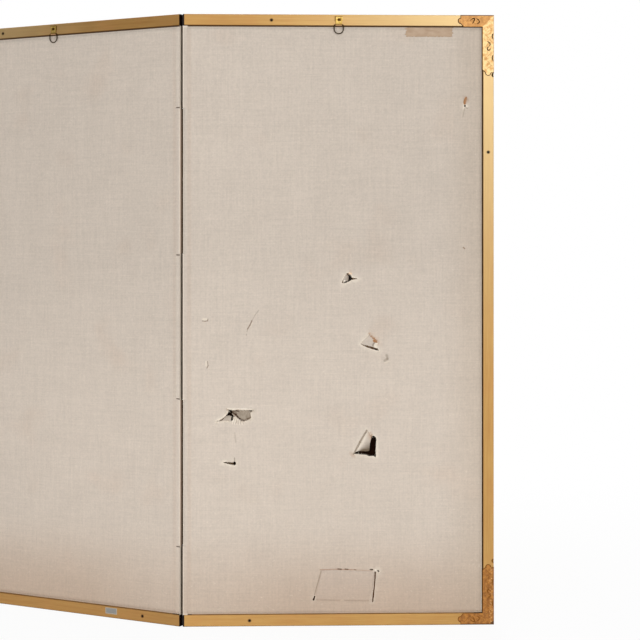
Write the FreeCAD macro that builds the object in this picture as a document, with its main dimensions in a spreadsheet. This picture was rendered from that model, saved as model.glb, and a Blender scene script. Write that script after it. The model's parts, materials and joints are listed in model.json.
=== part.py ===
import FreeCAD, Part
import math
import os
import re
import Sketcher

# A two-panel folding screen that stands half open, seen from its cloth-covered back.
#
# Each panel is drawn in its own frame: x runs from the fold outwards, y from the back face of the frame (0) to
# the front, and z up from the floor. The left panel is the right one mirrored in x and then turned about the fold
# axis, which stands just in front of the front faces. All lengths are millimetres and all angles degrees.

DRIVING = (
    ("panel_height", 1700.0, "height of a panel, frame included"),
    ("panel_width", 866.0, "fold plane to the outer face of the frame"),
    ("panel_thick", 17.0, "thickness of the frame"),
    ("fold_at_rest", 30.0, "turn of the left panel out of the flat screen"),
    ("rail_face", 32.0, "width of the top and bottom rails on the face"),
    ("stile_face", 31.0, "width of the outer stile on the face"),
    ("edge_round", 1.5, "radius of the frame's long edges"),
    ("rail_end_gap", 0.25, "rail end to the fold plane"),
    ("closing_gap", 0.15, "heads of the fittings' pins to the plane in which two closed panels meet"),
    ("recess", 2.0, "depth of the covered faces below the frame's faces"),
    ("core_edge_gap", 0.8, "edge of the core to the fold plane"),
    ("member_width", 24.0, "width of the core's outer members"),
    ("lattice_width", 13.0, "width of a lattice bar"),
    ("upright_count", 4, "lattice bars that stand"),
    ("crossbar_count", 12, "lattice bars that lie"),
    ("groove_width", 2.5, "bare strip of core between the cloth and the frame"),
    ("groove_cut", 2.2, "chamfer on the core's outer back edges, in that strip"),
    ("cloth_thick", 0.6, "back cloth"),
    ("paper_thick", 0.6, "pasted paper layers under the cloth and the painting"),
    ("painting_thick", 0.5, "painted sheet and its borders"),
    ("wide_border", 62.0, "width of the outer brocade border"),
    ("narrow_border", 9.0, "width of the inner border"),
    ("leaf_thick", 0.4, "paper of the hinge"),
    ("tab_width", 12.5, "width of a hinge tab on a panel's face"),
    ("first_zone_share", 0.14, "height of the uppermost hinge zone, as a share of the core's height"),
    ("zone_share", 0.2475, "height of each of the three zones below it, as such a share"),
    ("zone_slit", 0.8, "slit between two hinge zones"),
    ("dowel_radius", 1.5, "hidden headless nails that join the frame to the core"),
    ("dowel_length", 28.0, "length of such a nail, half in each piece"),
    ("dowel_margin", 95.0, "first such nail to the end of the core"),
    ("dowel_count", 4, "such nails along each rail and stile"),
    ("nail_play", 0.05, "bore radius over nail radius"),
    ("nail_radius", 1.2, "slanting nails that show"),
    ("nail_slant", 20.0, "slant of these nails to the face"),
    ("nail_bite", 10.0, "how far a slanting nail reaches into the core"),
    ("sink_radius", 2.9, "open hole over a slanting nail"),
    ("sink_depth", 3.0, "depth of that hole"),
    ("top_nail_share", 0.284, "fold to the right top rail's nail, as a share of the panel's width"),
    ("bottom_nail_share", 0.2137, "fold to the right bottom rail's nail, as such a share"),
    ("left_top_nail_share", 0.716, "fold to the left top rail's nail, as such a share"),
    ("left_bottom_nail_share", 0.1432, "fold to the left bottom rail's nail, as such a share"),
    ("stile_nail_share", 0.7753, "floor to a stile's nail, as a share of the panel's height"),
    ("fitting_thick", 0.4, "sheet metal of the corner fittings"),
    ("arm_along", 92.0, "length of a fitting's arm along the rail"),
    ("arm_upright", 160.0, "length of a fitting's arm along the stile"),
    ("arm_setback", 7.0, "how much shorter an arm is at its inner edge"),
    ("lobe_radius", 7.5, "round lobe at the end of an arm"),
    ("floor_gap", 0.5, "bottom fitting to the floor"),
    ("pin_radius", 0.8, "shank of a fitting's pins"),
    ("pin_length", 7.0, "shank of a pin in the wood"),
    ("pin_head_radius", 1.6, "head of a pin"),
    ("pin_head_thick", 0.3, "height of a pin's head"),
    ("strap_thick", 1.2, "plate of the ring hanger"),
    ("strap_width", 22.0, "width of the hanger's plate"),
    ("strap_drop", 5.0, "top edge of the panel to the plate"),
    ("shoulder_drop", 18.5, "top edge of the panel to the plate's narrower neck"),
    ("bar_drop", 29.0, "top edge of the panel to the ring's bar"),
    ("barrel_wall", 0.9, "metal rolled round the ring's bar"),
    ("barrel_length", 18.0, "length of the roll and width of the neck"),
    ("barrel_play", 0.05, "running clearance of the bar in the roll"),
    ("wire_radius", 1.4, "wire of the ring"),
    ("ring_half", 12.7, "half the ring's width, on the wire's axis"),
    ("ring_leg", 12.0, "bar to the centre of the ring's bow"),
    ("ring_corner", 2.5, "bend between the bar and a leg, on the wire's axis"),
    ("screw_drop", 14.5, "top edge of the panel to the hanger's screw"),
    ("screw_head_radius", 3.3, "head of the hanger's screw"),
    ("screw_head_thick", 1.0, "height of that head"),
    ("screw_radius", 1.5, "shank of that screw"),
    ("screw_length", 11.0, "shank of that screw in the rail"),
    ("slot_width", 0.8, "slot in that screw's head"),
    ("slot_depth", 0.5, "depth of that slot"),
    ("tape_setback", 112.0, "outer face of the frame to the strip of old tape"),
    ("tape_length", 135.0, "length of that strip"),
    ("tape_height", 29.0, "height of that strip"),
    ("tape_thick", 0.15, "thickness of that strip"),
    ("patch_thick", 0.3, "cloth of the repair patch"),
    ("label_share", 0.2529, "fold to the paper label on the left bottom rail, as a share of the panel's width"),
    ("label_length", 40.0, "length of that label"),
    ("label_height", 18.0, "height of that label"),
    ("label_rise", 7.5, "floor to that label"),
    ("label_thick", 0.2, "thickness of that label"),
    ("overrun", 5.0, "how far a cut runs past what it cuts"),
)

# Corners of the tears and of the patch on the right panel, as shares of the panel's width and height.
TEAR_SHARES = {
    "arrow_tear": (
        (0.526, 0.5775), (0.541, 0.5755), (0.544, 0.5670), (0.563, 0.5672), (0.540, 0.5650), (0.513, 0.5610)),
    "curled_tear": (
        (0.570, 0.4615), (0.600, 0.4775), (0.6215, 0.4685), (0.626, 0.4625), (0.6285, 0.4500), (0.600, 0.4540)),
    "ragged_tear": (
        (0.117, 0.3370), (0.136, 0.3395), (0.148, 0.3535), (0.226, 0.3525),
        (0.218, 0.3405), (0.192, 0.3360), (0.176, 0.3405), (0.158, 0.3350)),
    "large_tear": ((0.549, 0.2810), (0.592, 0.3195), (0.618, 0.3085), (0.6195, 0.2755)),
}
PATCH_SHARES = ((0.418, 0.0420), (0.610, 0.0395), (0.6175, 0.0892), (0.441, 0.0921))

# Pins of a corner fitting, as shares of the arm's length from the panel's corner.
PIN_SHARES = (0.42, 0.86)

SIDES = {"right": 1, "left": -1}

# Points nearer than this are the same point.
SAME_PLACE = 1e-6

doc = FreeCAD.newDocument("folding_screen")
sizes = doc.addObject("Spreadsheet::Sheet", "sizes")
for row, (alias, number, meaning) in enumerate(DRIVING, 1):
    sizes.set(f"A{row}", meaning)
    sizes.set(f"B{row}", str(number))
    sizes.setAlias(f"B{row}", alias)
doc.recompute()
ALIASES = {alias for alias, number, meaning in DRIVING}


def bound(expression):
    """The expression with each size's name pointing at its cell."""
    return re.sub(r"[a-z_]+", lambda word: ("sizes." if word.group() in ALIASES else "") + word.group(), expression)


def value(expression):
    """What an expression of the sizes comes to now."""
    return float(sizes.evalExpression(bound(expression)))


# Levels through the thickness, from the back face (0) to the front face.
CLOTH_BACK = "recess"
UNDERPAPER_BACK = "(recess + cloth_thick)"
CORE_BACK = "(recess + cloth_thick + paper_thick)"
PAINTING_FRONT = "(panel_thick - recess)"
PAINTING_BACK = "(panel_thick - recess - painting_thick)"
CORE_FRONT = "(panel_thick - recess - painting_thick - paper_thick)"
CORE_THICK = f"({CORE_FRONT} - {CORE_BACK})"
CORE_MIDDLE = f"(({CORE_FRONT} + {CORE_BACK}) / 2)"
PIVOT_Y = "(panel_thick + fitting_thick + pin_head_thick + closing_gap)"

# Extents of the core in a panel, of the lattice inside it and of the cloth on its back.
CORE_IN = "core_edge_gap"
CORE_OUT = "(panel_width - stile_face)"
CORE_LOW = "rail_face"
CORE_HIGH = "(panel_height - rail_face)"
LATTICE_IN = f"({CORE_IN} + member_width)"
LATTICE_OUT = f"({CORE_OUT} - member_width)"
LATTICE_LOW = f"({CORE_LOW} + member_width)"
LATTICE_HIGH = f"({CORE_HIGH} - member_width)"
CLOTH_OUT = f"({CORE_OUT} - groove_width)"
CLOTH_LOW = f"({CORE_LOW} + groove_width)"
CLOTH_HIGH = f"({CORE_HIGH} - groove_width)"
HANGER_X = "(panel_width / 2)"
BAR_Z = "(panel_height - bar_drop)"
BORE_RADIUS = "(wire_radius + barrel_play)"
BAR_Y = f"(-{BORE_RADIUS} - barrel_wall)"


def mirrored(side, x):
    return x if side > 0 else f"(-({x}))"


# Building blocks: bodies, sketches with every point tied to the sizes, and their features.


def new_body(label):
    body = doc.addObject("PartDesign::Body", label)
    body.Label = label
    return body


def sketch_on(body, role, out="0"):
    """A sketch on one of the body's own planes, moved along that plane's normal."""
    sketch = body.newObject("Sketcher::SketchObject", f"{body.Label}_sketch")
    plane = next(feature for feature in body.Origin.OriginFeatures if feature.Role == role)
    sketch.AttachmentSupport = (plane, [""])
    sketch.MapMode = "FlatFace"
    sketch.setExpression("AttachmentOffset.Base.z", bound(out))
    return sketch


def face_sketch(body, depth):
    """A sketch in x and z at a depth behind the panel's back face; its normal points out of the back."""
    return sketch_on(body, "XZ_Plane", f"-({depth})")


def pin_down(sketch, geometry, position, x, z):
    """Ties a point of the sketch to two expressions."""
    for kind, expression in (("DistanceX", x), ("DistanceY", z)):
        index = sketch.addConstraint(Sketcher.Constraint(kind, -1, 1, geometry, position, value(expression)))
        sketch.setExpression(f"Constraints[{index}]", bound(expression))


def add_arc(sketch, start, end, centre, turn):
    """An arc about a centre; returns its number and which of its ends is the start and the end."""
    middle = FreeCAD.Vector(value(centre[0]), value(centre[1]), 0)
    towards = [FreeCAD.Vector(value(point[0]), value(point[1]), 0) - middle for point in (start, end)]
    angles = [math.atan2(arm.y, arm.x) for arm in towards]
    first, last = angles if turn > 0 else reversed(angles)
    if last <= first:
        last += 2 * math.pi
    circle = Part.Circle(middle, FreeCAD.Vector(0, 0, 1), towards[0].Length)
    arc = sketch.addGeometry(Part.ArcOfCircle(circle, first, last), False)
    chord = towards[1] - towards[0]
    kind, expression = ("DistanceX", centre[0]) if abs(chord.y) > abs(chord.x) else ("DistanceY", centre[1])
    index = sketch.addConstraint(Sketcher.Constraint(kind, -1, 1, arc, 3, value(expression)))
    sketch.setExpression(f"Constraints[{index}]", bound(expression))
    return (arc, 1, 2) if turn > 0 else (arc, 2, 1)


def outline(sketch, corners, side=1):
    """A closed loop through the corners. A corner is (x, z), or (x, z, centre x, centre z, turn) where the
    edge that arrives there is an arc, anticlockwise for a turn of 1 and clockwise for -1."""
    points = [(mirrored(side, corner[0]), corner[1]) for corner in corners]
    edges = []
    for number, corner in enumerate(corners):
        start, end = points[number - 1], points[number]
        if len(corner) == 2:
            ends = [FreeCAD.Vector(value(x), value(z), 0) for x, z in (start, end)]
            edges.append((sketch.addGeometry(Part.LineSegment(*ends), False), 1, 2))
        else:
            centre = (mirrored(side, corner[2]), corner[3])
            edges.append(add_arc(sketch, start, end, centre, side * corner[4]))
    for number, (edge, first, last) in enumerate(edges):
        before, before_first, before_last = edges[number - 1]
        sketch.addConstraint(Sketcher.Constraint("Coincident", before, before_last, edge, first))
        pin_down(sketch, edge, last, *points[number])


def rectangle(sketch, x_low, x_high, z_low, z_high, side=1):
    outline(sketch, ((x_low, z_low), (x_high, z_low), (x_high, z_high), (x_low, z_high)), side)


def circles(sketch, centres, radius, side=1):
    for x, z in centres:
        centre = FreeCAD.Vector(value(mirrored(side, x)), value(z), 0)
        circle = sketch.addGeometry(Part.Circle(centre, FreeCAD.Vector(0, 0, 1), value(radius)), False)
        pin_down(sketch, circle, 3, mirrored(side, x), z)
        index = sketch.addConstraint(Sketcher.Constraint("Radius", circle, value(radius)))
        sketch.setExpression(f"Constraints[{index}]", bound(radius))


def pad(body, sketch, length, against_normal=True, both_ways=False):
    feature = body.newObject("PartDesign::Pad", f"{body.Label}_pad")
    feature.Profile = sketch
    feature.Reversed = against_normal
    if both_ways:
        feature.SideType = "Symmetric"
    feature.setExpression("Length", bound(length))
    doc.recompute()
    return feature


def pocket(body, sketch, length, along_normal=False):
    """Cuts into the body, against the sketch's normal unless told otherwise, and makes sure that it did."""
    before = body.Shape.Volume
    feature = body.newObject("PartDesign::Pocket", f"{body.Label}_pocket")
    feature.Profile = sketch
    feature.Reversed = along_normal
    feature.setExpression("Length", bound(length))
    doc.recompute()
    if not feature.Shape.Volume < before:
        raise ValueError(f"a cut in {body.Label} removes nothing")
    return feature


def dress(body, kind, edges, size_name, size):
    """A Fillet or a Chamfer on some edges of the body as it stands."""
    base = body.Tip
    feature = body.newObject(f"PartDesign::{kind}", f"{body.Label}_{kind.lower()}")
    feature.Base = (base, edges)
    feature.setExpression(size_name, bound(size))
    doc.recompute()
    return feature


def edges_where(shape, test):
    """Names of the straight edges whose two ends pass a test."""
    return [f"Edge{number}" for number, edge in enumerate(shape.Edges, 1)
            if len(edge.Vertexes) == 2 and test(*(vertex.Point for vertex in edge.Vertexes))]


def plate(label, side, x_low, x_high, z_low, z_high, depth, thick):
    """A flat rectangular sheet from a depth towards the front."""
    body = new_body(label)
    sketch = face_sketch(body, depth)
    rectangle(sketch, x_low, x_high, z_low, z_high, side)
    pad(body, sketch, thick)
    return body


# Where the headless nails lie along a member that runs from low to high.


def dowel_places(low, high):
    count = int(value("dowel_count"))
    step = f"(({high}) - ({low}) - 2 * dowel_margin) / (dowel_count - 1)"
    return [f"({low}) + dowel_margin + {number} * {step}" for number in range(count)]


RAIL_DOWELS = dowel_places(CORE_IN, CORE_OUT)
STILE_DOWELS = dowel_places(CORE_LOW, CORE_HIGH)


def dowel_bores(body, side, joint, upwards):
    """Bores for the nails between a rail and the core, from their joint up or down."""
    sketch = sketch_on(body, "XY_Plane", joint)
    circles(sketch, [(x, CORE_MIDDLE) for x in RAIL_DOWELS], "dowel_radius + nail_play", side)
    pocket(body, sketch, "dowel_length / 2", upwards)


def dowel_bores_aside(body, side, outwards):
    """The same between the stile and the core."""
    sketch = sketch_on(body, "YZ_Plane", mirrored(side, CORE_OUT))
    circles(sketch, [(CORE_MIDDLE, z) for z in STILE_DOWELS], "dowel_radius + nail_play")
    pocket(body, sketch, "dowel_length / 2", outwards == (side > 0))


# The slanting nails: each starts at the bottom of an open hole in the middle of the frame's face.


def slanting_nails(side):
    """For each nail its x, its z and the width of the frame's face there."""
    prefix = "" if side > 0 else "left_"
    return {
        "top": (f"panel_width * {prefix}top_nail_share", "panel_height - rail_face / 2", "rail_face"),
        "bottom": (f"panel_width * {prefix}bottom_nail_share", "rail_face / 2", "rail_face"),
        "stile": ("panel_width - stile_face / 2", "panel_height * stile_nail_share", "stile_face"),
    }


def slanted_sketch(body, side, which):
    """A sketch square to a slanting nail, at the bottom of its hole, with the normal pointing back out."""
    x, z, face = slanting_nails(side)[which]
    sketch = sketch_on(body, "XZ_Plane", "-sink_depth")
    axis = {
        "top": FreeCAD.Vector(-1, 0, 0),
        "bottom": FreeCAD.Vector(1, 0, 0),
        "stile": FreeCAD.Vector(0, side, 0),
    }[which]
    turn = FreeCAD.Rotation(axis, value("90 - nail_slant"))
    sketch.AttachmentOffset = FreeCAD.Placement(FreeCAD.Vector(), turn)
    sketch.setExpression("AttachmentOffset.Base.x", bound(mirrored(side, x)))
    sketch.setExpression("AttachmentOffset.Base.y", bound(z))
    sketch.setExpression("AttachmentOffset.Rotation.Angle", bound("90 - nail_slant"))
    doc.recompute()
    return sketch


def nail_run(side, which):
    return f"({slanting_nails(side)[which][2]} / 2 + nail_bite) / cos(nail_slant)"


def slanted_bore(body, side, which):
    sketch = slanted_sketch(body, side, which)
    circles(sketch, [("0", "0")], "nail_radius + nail_play")
    pocket(body, sketch, nail_run(side, which))


def sink_hole(body, side, which):
    x, z, face = slanting_nails(side)[which]
    sketch = face_sketch(body, "0")
    circles(sketch, [(x, z)], "sink_radius", side)
    pocket(body, sketch, "sink_depth")


# Where a corner fitting's pins stand: on the middle of each arm.


def pin_places(corner, arm):
    rail_middle = "panel_height - rail_face / 2" if corner == "top" else "rail_face / 2"
    if arm == "rail":
        return [(f"panel_width - {share} * arm_along", rail_middle) for share in PIN_SHARES]
    upright = "panel_height - {} * arm_upright" if corner == "top" else "{} * arm_upright"
    return [("panel_width - stile_face / 2", upright.format(share)) for share in PIN_SHARES]


def pin_bores(body, side, centres):
    """Bores for the pins, from the back face and from the front face."""
    for depth, from_front in (("0", False), ("panel_thick", True)):
        sketch = face_sketch(body, depth)
        circles(sketch, centres, "pin_radius + nail_play", side)
        pocket(body, sketch, "pin_length", from_front)


# The lacquered frame: two rails and one stile, mitred at the outer corners.


def frame_rail(name, side, side_name):
    top = name == "top"
    outer, inner = ("panel_height", CORE_HIGH) if top else ("0", CORE_LOW)
    body = new_body(f"{name}_rail_{side_name}")
    sketch = face_sketch(body, "0")
    hinge_end = [("rail_end_gap", outer), ("rail_end_gap", inner)]
    outline(sketch, [*hinge_end, (CORE_OUT, inner), ("panel_width", outer)], side)
    pad(body, sketch, "panel_thick")
    long_edges = edges_where(body.Shape, lambda a, b: abs(a.x - b.x) > abs(a.y - b.y) + abs(a.z - b.z))
    dress(body, "Fillet", long_edges, "Radius", "edge_round")
    dowel_bores(body, side, inner, top)
    sink_hole(body, side, name)
    slanted_bore(body, side, name)
    pin_bores(body, side, pin_places(name, "rail"))
    if top:
        sketch = face_sketch(body, "0")
        circles(sketch, [(HANGER_X, "panel_height - screw_drop")], "screw_radius + nail_play", side)
        pocket(body, sketch, "screw_length")
    return body


def outer_stile(side, side_name):
    body = new_body(f"outer_stile_{side_name}")
    sketch = face_sketch(body, "0")
    outer_face = [("panel_width", "0"), ("panel_width", "panel_height")]
    outline(sketch, [(CORE_OUT, CORE_LOW), *outer_face, (CORE_OUT, CORE_HIGH)], side)
    pad(body, sketch, "panel_thick")
    long_edges = edges_where(body.Shape, lambda a, b: abs(a.z - b.z) > abs(a.x - b.x) + abs(a.y - b.y))
    dress(body, "Fillet", long_edges, "Radius", "edge_round")
    dowel_bores_aside(body, side, True)
    sink_hole(body, side, "stile")
    slanted_bore(body, side, "stile")
    pin_bores(body, side, pin_places("top", "stile") + pin_places("bottom", "stile"))
    return body


# The core: a flat wooden frame whose outer back edges are chamfered, filled by a half-lapped lattice.


def core_member(label, side, x_low, x_high, z_low, z_high):
    return plate(label, side, x_low, x_high, z_low, z_high, CORE_BACK, CORE_THICK)


def chamfer_back_edge(body, side, axis, level):
    """Chamfers the back edge that runs along a level in x or z."""
    corner = {axis: value(mirrored(side, level) if axis == "x" else level), "y": value(CORE_BACK)}

    def lies_there(*ends):
        gaps = [getattr(end, name) - place for end in ends for name, place in corner.items()]
        return max(map(abs, gaps)) < SAME_PLACE

    dress(body, "Chamfer", edges_where(body.Shape, lies_there), "Size", "groove_cut")


def core_rail(name, side, side_name):
    top = name == "top"
    outer = CORE_HIGH if top else CORE_LOW
    inner = f"({outer} - member_width)" if top else f"({outer} + member_width)"
    low, high = (inner, outer) if top else (outer, inner)
    body = core_member(f"core_{name}_rail_{side_name}", side, LATTICE_IN, LATTICE_OUT, low, high)
    chamfer_back_edge(body, side, "z", outer)
    dowel_bores(body, side, outer, not top)
    slanted_bore(body, side, name)
    return body


def core_stiles(side, side_name):
    core_member(f"core_hinge_stile_{side_name}", side, CORE_IN, LATTICE_IN, CORE_LOW, CORE_HIGH)
    outer = core_member(f"core_outer_stile_{side_name}", side, LATTICE_OUT, CORE_OUT, CORE_LOW, CORE_HIGH)
    chamfer_back_edge(outer, side, "x", CORE_OUT)
    dowel_bores_aside(outer, side, False)
    slanted_bore(outer, side, "stile")


def spaced(low, high, count_name):
    """Centre lines of bars that part a clear width evenly."""
    step = f"(({high}) - ({low})) / ({count_name} + 1)"
    return [f"({low}) + {number} * {step}" for number in range(1, int(value(count_name)) + 1)]


def bands(sketch, centres, low, high, upright, side):
    """Rectangles one lattice bar wide about each centre line."""
    for centre in centres:
        across = (f"{centre} - lattice_width / 2", f"{centre} + lattice_width / 2")
        spans = (*across, low, high) if upright else (low, high, *across)
        rectangle(sketch, *spans, side)


def lattice(side, side_name):
    uprights = spaced(LATTICE_IN, LATTICE_OUT, "upright_count")
    crossbars = spaced(LATTICE_LOW, LATTICE_HIGH, "crossbar_count")
    body = new_body(f"lattice_uprights_{side_name}")
    sketch = face_sketch(body, CORE_BACK)
    bands(sketch, uprights, LATTICE_LOW, LATTICE_HIGH, True, side)
    pad(body, sketch, CORE_THICK)
    sketch = face_sketch(body, CORE_BACK)
    bands(sketch, crossbars, LATTICE_IN, LATTICE_OUT, False, side)
    pocket(body, sketch, f"{CORE_THICK} / 2")
    body = new_body(f"lattice_crossbars_{side_name}")
    sketch = face_sketch(body, CORE_BACK)
    bands(sketch, crossbars, LATTICE_IN, LATTICE_OUT, False, side)
    pad(body, sketch, CORE_THICK)
    sketch = face_sketch(body, CORE_FRONT)
    bands(sketch, uprights, LATTICE_LOW, LATTICE_HIGH, True, side)
    pocket(body, sketch, f"{CORE_THICK} / 2", True)


# The coverings, and the tears in them.


def share_points(shares):
    return tuple((f"{x} * panel_width", f"{z} * panel_height") for x, z in shares)


def cut_tears(body, depth, thick):
    sketch = face_sketch(body, depth)
    for shares in TEAR_SHARES.values():
        outline(sketch, share_points(shares))
    pocket(body, sketch, thick)


def back_coverings(side, side_name):
    layers = {"back_cloth": (CLOTH_BACK, "cloth_thick"), "back_underpaper": (UNDERPAPER_BACK, "paper_thick")}
    for name, (depth, thick) in layers.items():
        body = plate(f"{name}_{side_name}", side, CORE_IN, CLOTH_OUT, CLOTH_LOW, CLOTH_HIGH, depth, thick)
        if side > 0:
            cut_tears(body, depth, thick)


def border(label, side, margin, width):
    """A strip along the top, the outer side and the bottom, set in by a margin, and open at the fold."""
    body = new_body(label)
    sketch = face_sketch(body, PAINTING_BACK)
    far, low, high = f"{CORE_OUT} - ({margin})", f"{CORE_LOW} + ({margin})", f"{CORE_HIGH} - ({margin})"
    outline(sketch, (
        (CORE_IN, low), (far, low), (far, high), (CORE_IN, high),
        (CORE_IN, f"{high} - {width}"), (f"{far} - {width}", f"{high} - {width}"),
        (f"{far} - {width}", f"{low} + {width}"), (CORE_IN, f"{low} + {width}"),
    ), side)
    pad(body, sketch, "painting_thick")


def front_coverings(side, side_name):
    whole = (CORE_IN, CORE_OUT, CORE_LOW, CORE_HIGH)
    plate(f"front_underpaper_{side_name}", side, *whole, CORE_FRONT, "paper_thick")
    border(f"wide_border_{side_name}", side, "0", "wide_border")
    border(f"narrow_border_{side_name}", side, "wide_border", "narrow_border")
    margin = "(wide_border + narrow_border)"
    plate(f"painting_sheet_{side_name}", side, CORE_IN, f"{CORE_OUT} - {margin}", f"{CORE_LOW} + {margin}",
          f"{CORE_HIGH} - {margin}", PAINTING_BACK, "painting_thick")


# The paper hinge. In each zone one strip runs from the front of one panel through the fold to the back of the
# other. The zones alternate, and each strip is parted at the fold: an angle round one edge, a tab on the other.


def hinge_zones():
    tops = [CORE_HIGH]
    for number in range(4):
        reach = f"(first_zone_share + {number} * zone_share)"
        tops.append(f"({CORE_HIGH} - ({CORE_HIGH} - {CORE_LOW}) * {reach})")
    return list(zip(tops, tops[1:] + [CORE_LOW]))


def hinge_leaf(label, side, low, high, wraps):
    body = new_body(label)
    low, length = f"({low}) + zone_slit / 2", f"({high}) - ({low}) - zone_slit"
    edge, tab_end = "core_edge_gap - leaf_thick", "core_edge_gap + tab_width"
    if wraps:
        sketch = sketch_on(body, "XY_Plane", low)
        back = f"{CLOTH_BACK} - leaf_thick"
        outline(sketch, (
            (edge, back), (tab_end, back), (tab_end, CLOTH_BACK), (CORE_IN, CLOTH_BACK),
            (CORE_IN, PAINTING_FRONT), (edge, PAINTING_FRONT),
        ), side)
        pad(body, sketch, length, against_normal=False)
    else:
        sketch = face_sketch(body, PAINTING_FRONT)
        rectangle(sketch, CORE_IN, tab_end, low, f"{low} + {length}", side)
        pad(body, sketch, "leaf_thick")


# Corner fittings of sheet metal, bent round the frame, and their pins.


def corner_fitting(corner, side, side_name):
    top = corner == "top"
    body = new_body(f"corner_fitting_{corner}_{side_name}")

    def at(inwards, downwards):
        """A point by its distance from the panel's outer face and from its top or bottom edge."""
        return f"panel_width - ({inwards})", f"panel_height - ({downwards})" if top else f"({downwards})"

    turn = 1 if top else -1
    edge = "-fitting_thick" if top else "floor_gap"
    rail_middle, stile_middle = "rail_face / 2", "stile_face / 2"
    sketch = face_sketch(body, "-fitting_thick")
    outline(sketch, (
        at("-fitting_thick", edge),
        at("arm_along", edge),
        at("arm_along", f"{rail_middle} - lobe_radius"),
        (*at("arm_along", f"{rail_middle} + lobe_radius"), *at("arm_along", rail_middle), turn),
        at("arm_along - arm_setback", "rail_face"),
        at("stile_face", "rail_face"),
        at("stile_face", "arm_upright - arm_setback"),
        at(f"{stile_middle} + lobe_radius", "arm_upright"),
        (*at(f"{stile_middle} - lobe_radius", "arm_upright"), *at(stile_middle, "arm_upright"), turn),
        at("-fitting_thick", "arm_upright"),
    ), side)
    pad(body, sketch, "panel_thick + 2 * fitting_thick")
    sketch = face_sketch(body, "0")
    outer_edge = "0" if top else "-overrun"
    far, deep = "arm_along + lobe_radius + overrun", "arm_upright + lobe_radius + overrun"
    outline(sketch, (at("0", outer_edge), at(far, outer_edge), at(far, deep), at("0", deep)), side)
    pocket(body, sketch, "panel_thick")
    holes = pin_places(corner, "rail") + pin_places(corner, "stile")
    sketch = face_sketch(body, "-fitting_thick")
    circles(sketch, holes, "pin_radius + nail_play", side)
    pocket(body, sketch, "panel_thick + 2 * fitting_thick")


def fitting_pins(side, side_name):
    """Pins on the back and on the front of both fittings of a panel."""
    body = new_body(f"fitting_pins_{side_name}")
    arms = [(corner, arm) for corner in ("top", "bottom") for arm in ("rail", "stile")]
    centres = [place for corner, arm in arms for place in pin_places(corner, arm)]
    for surface, from_front in (("(-fitting_thick)", False), ("(panel_thick + fitting_thick)", True)):
        shank = face_sketch(body, surface)
        circles(shank, centres, "pin_radius", side)
        pad(body, shank, "fitting_thick + pin_length", not from_front)
        head = face_sketch(body, surface)
        circles(head, centres, "pin_head_radius", side)
        pad(body, head, "pin_head_thick", from_front)


def nails(side, side_name):
    """The slanting nails and the hidden headless ones, each kind as one group."""
    body = new_body(f"frame_nails_{side_name}")
    for which in slanting_nails(side):
        sketch = slanted_sketch(body, side, which)
        circles(sketch, [("0", "0")], "nail_radius")
        pad(body, sketch, nail_run(side, which))
    body = new_body(f"hidden_nails_{side_name}")
    for joint in (CORE_LOW, CORE_HIGH):
        sketch = sketch_on(body, "XY_Plane", joint)
        circles(sketch, [(x, CORE_MIDDLE) for x in RAIL_DOWELS], "dowel_radius", side)
        pad(body, sketch, "dowel_length", both_ways=True)
    sketch = sketch_on(body, "YZ_Plane", mirrored(side, CORE_OUT))
    circles(sketch, [(CORE_MIDDLE, z) for z in STILE_DOWELS], "dowel_radius")
    pad(body, sketch, "dowel_length", both_ways=True)


# The ring hanger in the middle of the top rail: a plate rolled round the bar of a D-shaped ring, and its screw.


def hanger_strap(side, side_name):
    body = new_body(f"hanger_strap_{side_name}")
    sketch = face_sketch(body, "-strap_thick")
    neck, wide = "barrel_length / 2", "strap_width / 2"
    upper, shoulder = "panel_height - strap_drop", "panel_height - shoulder_drop"
    outline(sketch, (
        (f"{HANGER_X} - {neck}", BAR_Z), (f"{HANGER_X} + {neck}", BAR_Z), (f"{HANGER_X} + {neck}", shoulder),
        (f"{HANGER_X} + {wide}", shoulder), (f"{HANGER_X} + {wide}", upper), (f"{HANGER_X} - {wide}", upper),
        (f"{HANGER_X} - {wide}", shoulder), (f"{HANGER_X} - {neck}", shoulder),
    ), side)
    pad(body, sketch, "strap_thick")
    for radius, cut in ((f"{BORE_RADIUS} + barrel_wall", False), (BORE_RADIUS, True)):
        sketch = sketch_on(body, "YZ_Plane", f"{mirrored(side, HANGER_X)} - barrel_length / 2")
        circles(sketch, [(BAR_Y, BAR_Z)], radius)
        if cut:
            pocket(body, sketch, "barrel_length", True)
        else:
            pad(body, sketch, "barrel_length", against_normal=False)
    sketch = face_sketch(body, "-strap_thick")
    circles(sketch, [(HANGER_X, "panel_height - screw_drop")], "screw_radius + nail_play", side)
    pocket(body, sketch, "strap_thick")


def hanger_ring(side, side_name):
    body = new_body(f"hanger_ring_{side_name}")
    path = face_sketch(body, BAR_Y)
    left, right = f"({HANGER_X} - ring_half)", f"({HANGER_X} + ring_half)"
    corner_z, bow_z = f"({BAR_Z} - ring_corner)", f"({BAR_Z} - ring_leg)"
    outline(path, (
        (f"{right} - ring_corner", BAR_Z),
        (right, corner_z, f"{right} - ring_corner", corner_z, -1),
        (right, bow_z),
        (left, bow_z, HANGER_X, bow_z, -1),
        (left, corner_z),
        (f"{left} + ring_corner", BAR_Z, f"{left} + ring_corner", corner_z, -1),
    ), side)
    section = sketch_on(body, "YZ_Plane", mirrored(side, HANGER_X))
    circles(section, [(BAR_Y, BAR_Z)], "wire_radius")
    pipe = body.newObject("PartDesign::AdditivePipe", f"{body.Label}_pipe")
    pipe.Profile = section
    pipe.Spine = (path, [f"Edge{number}" for number in range(1, path.GeometryCount + 1)])
    doc.recompute()


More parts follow.
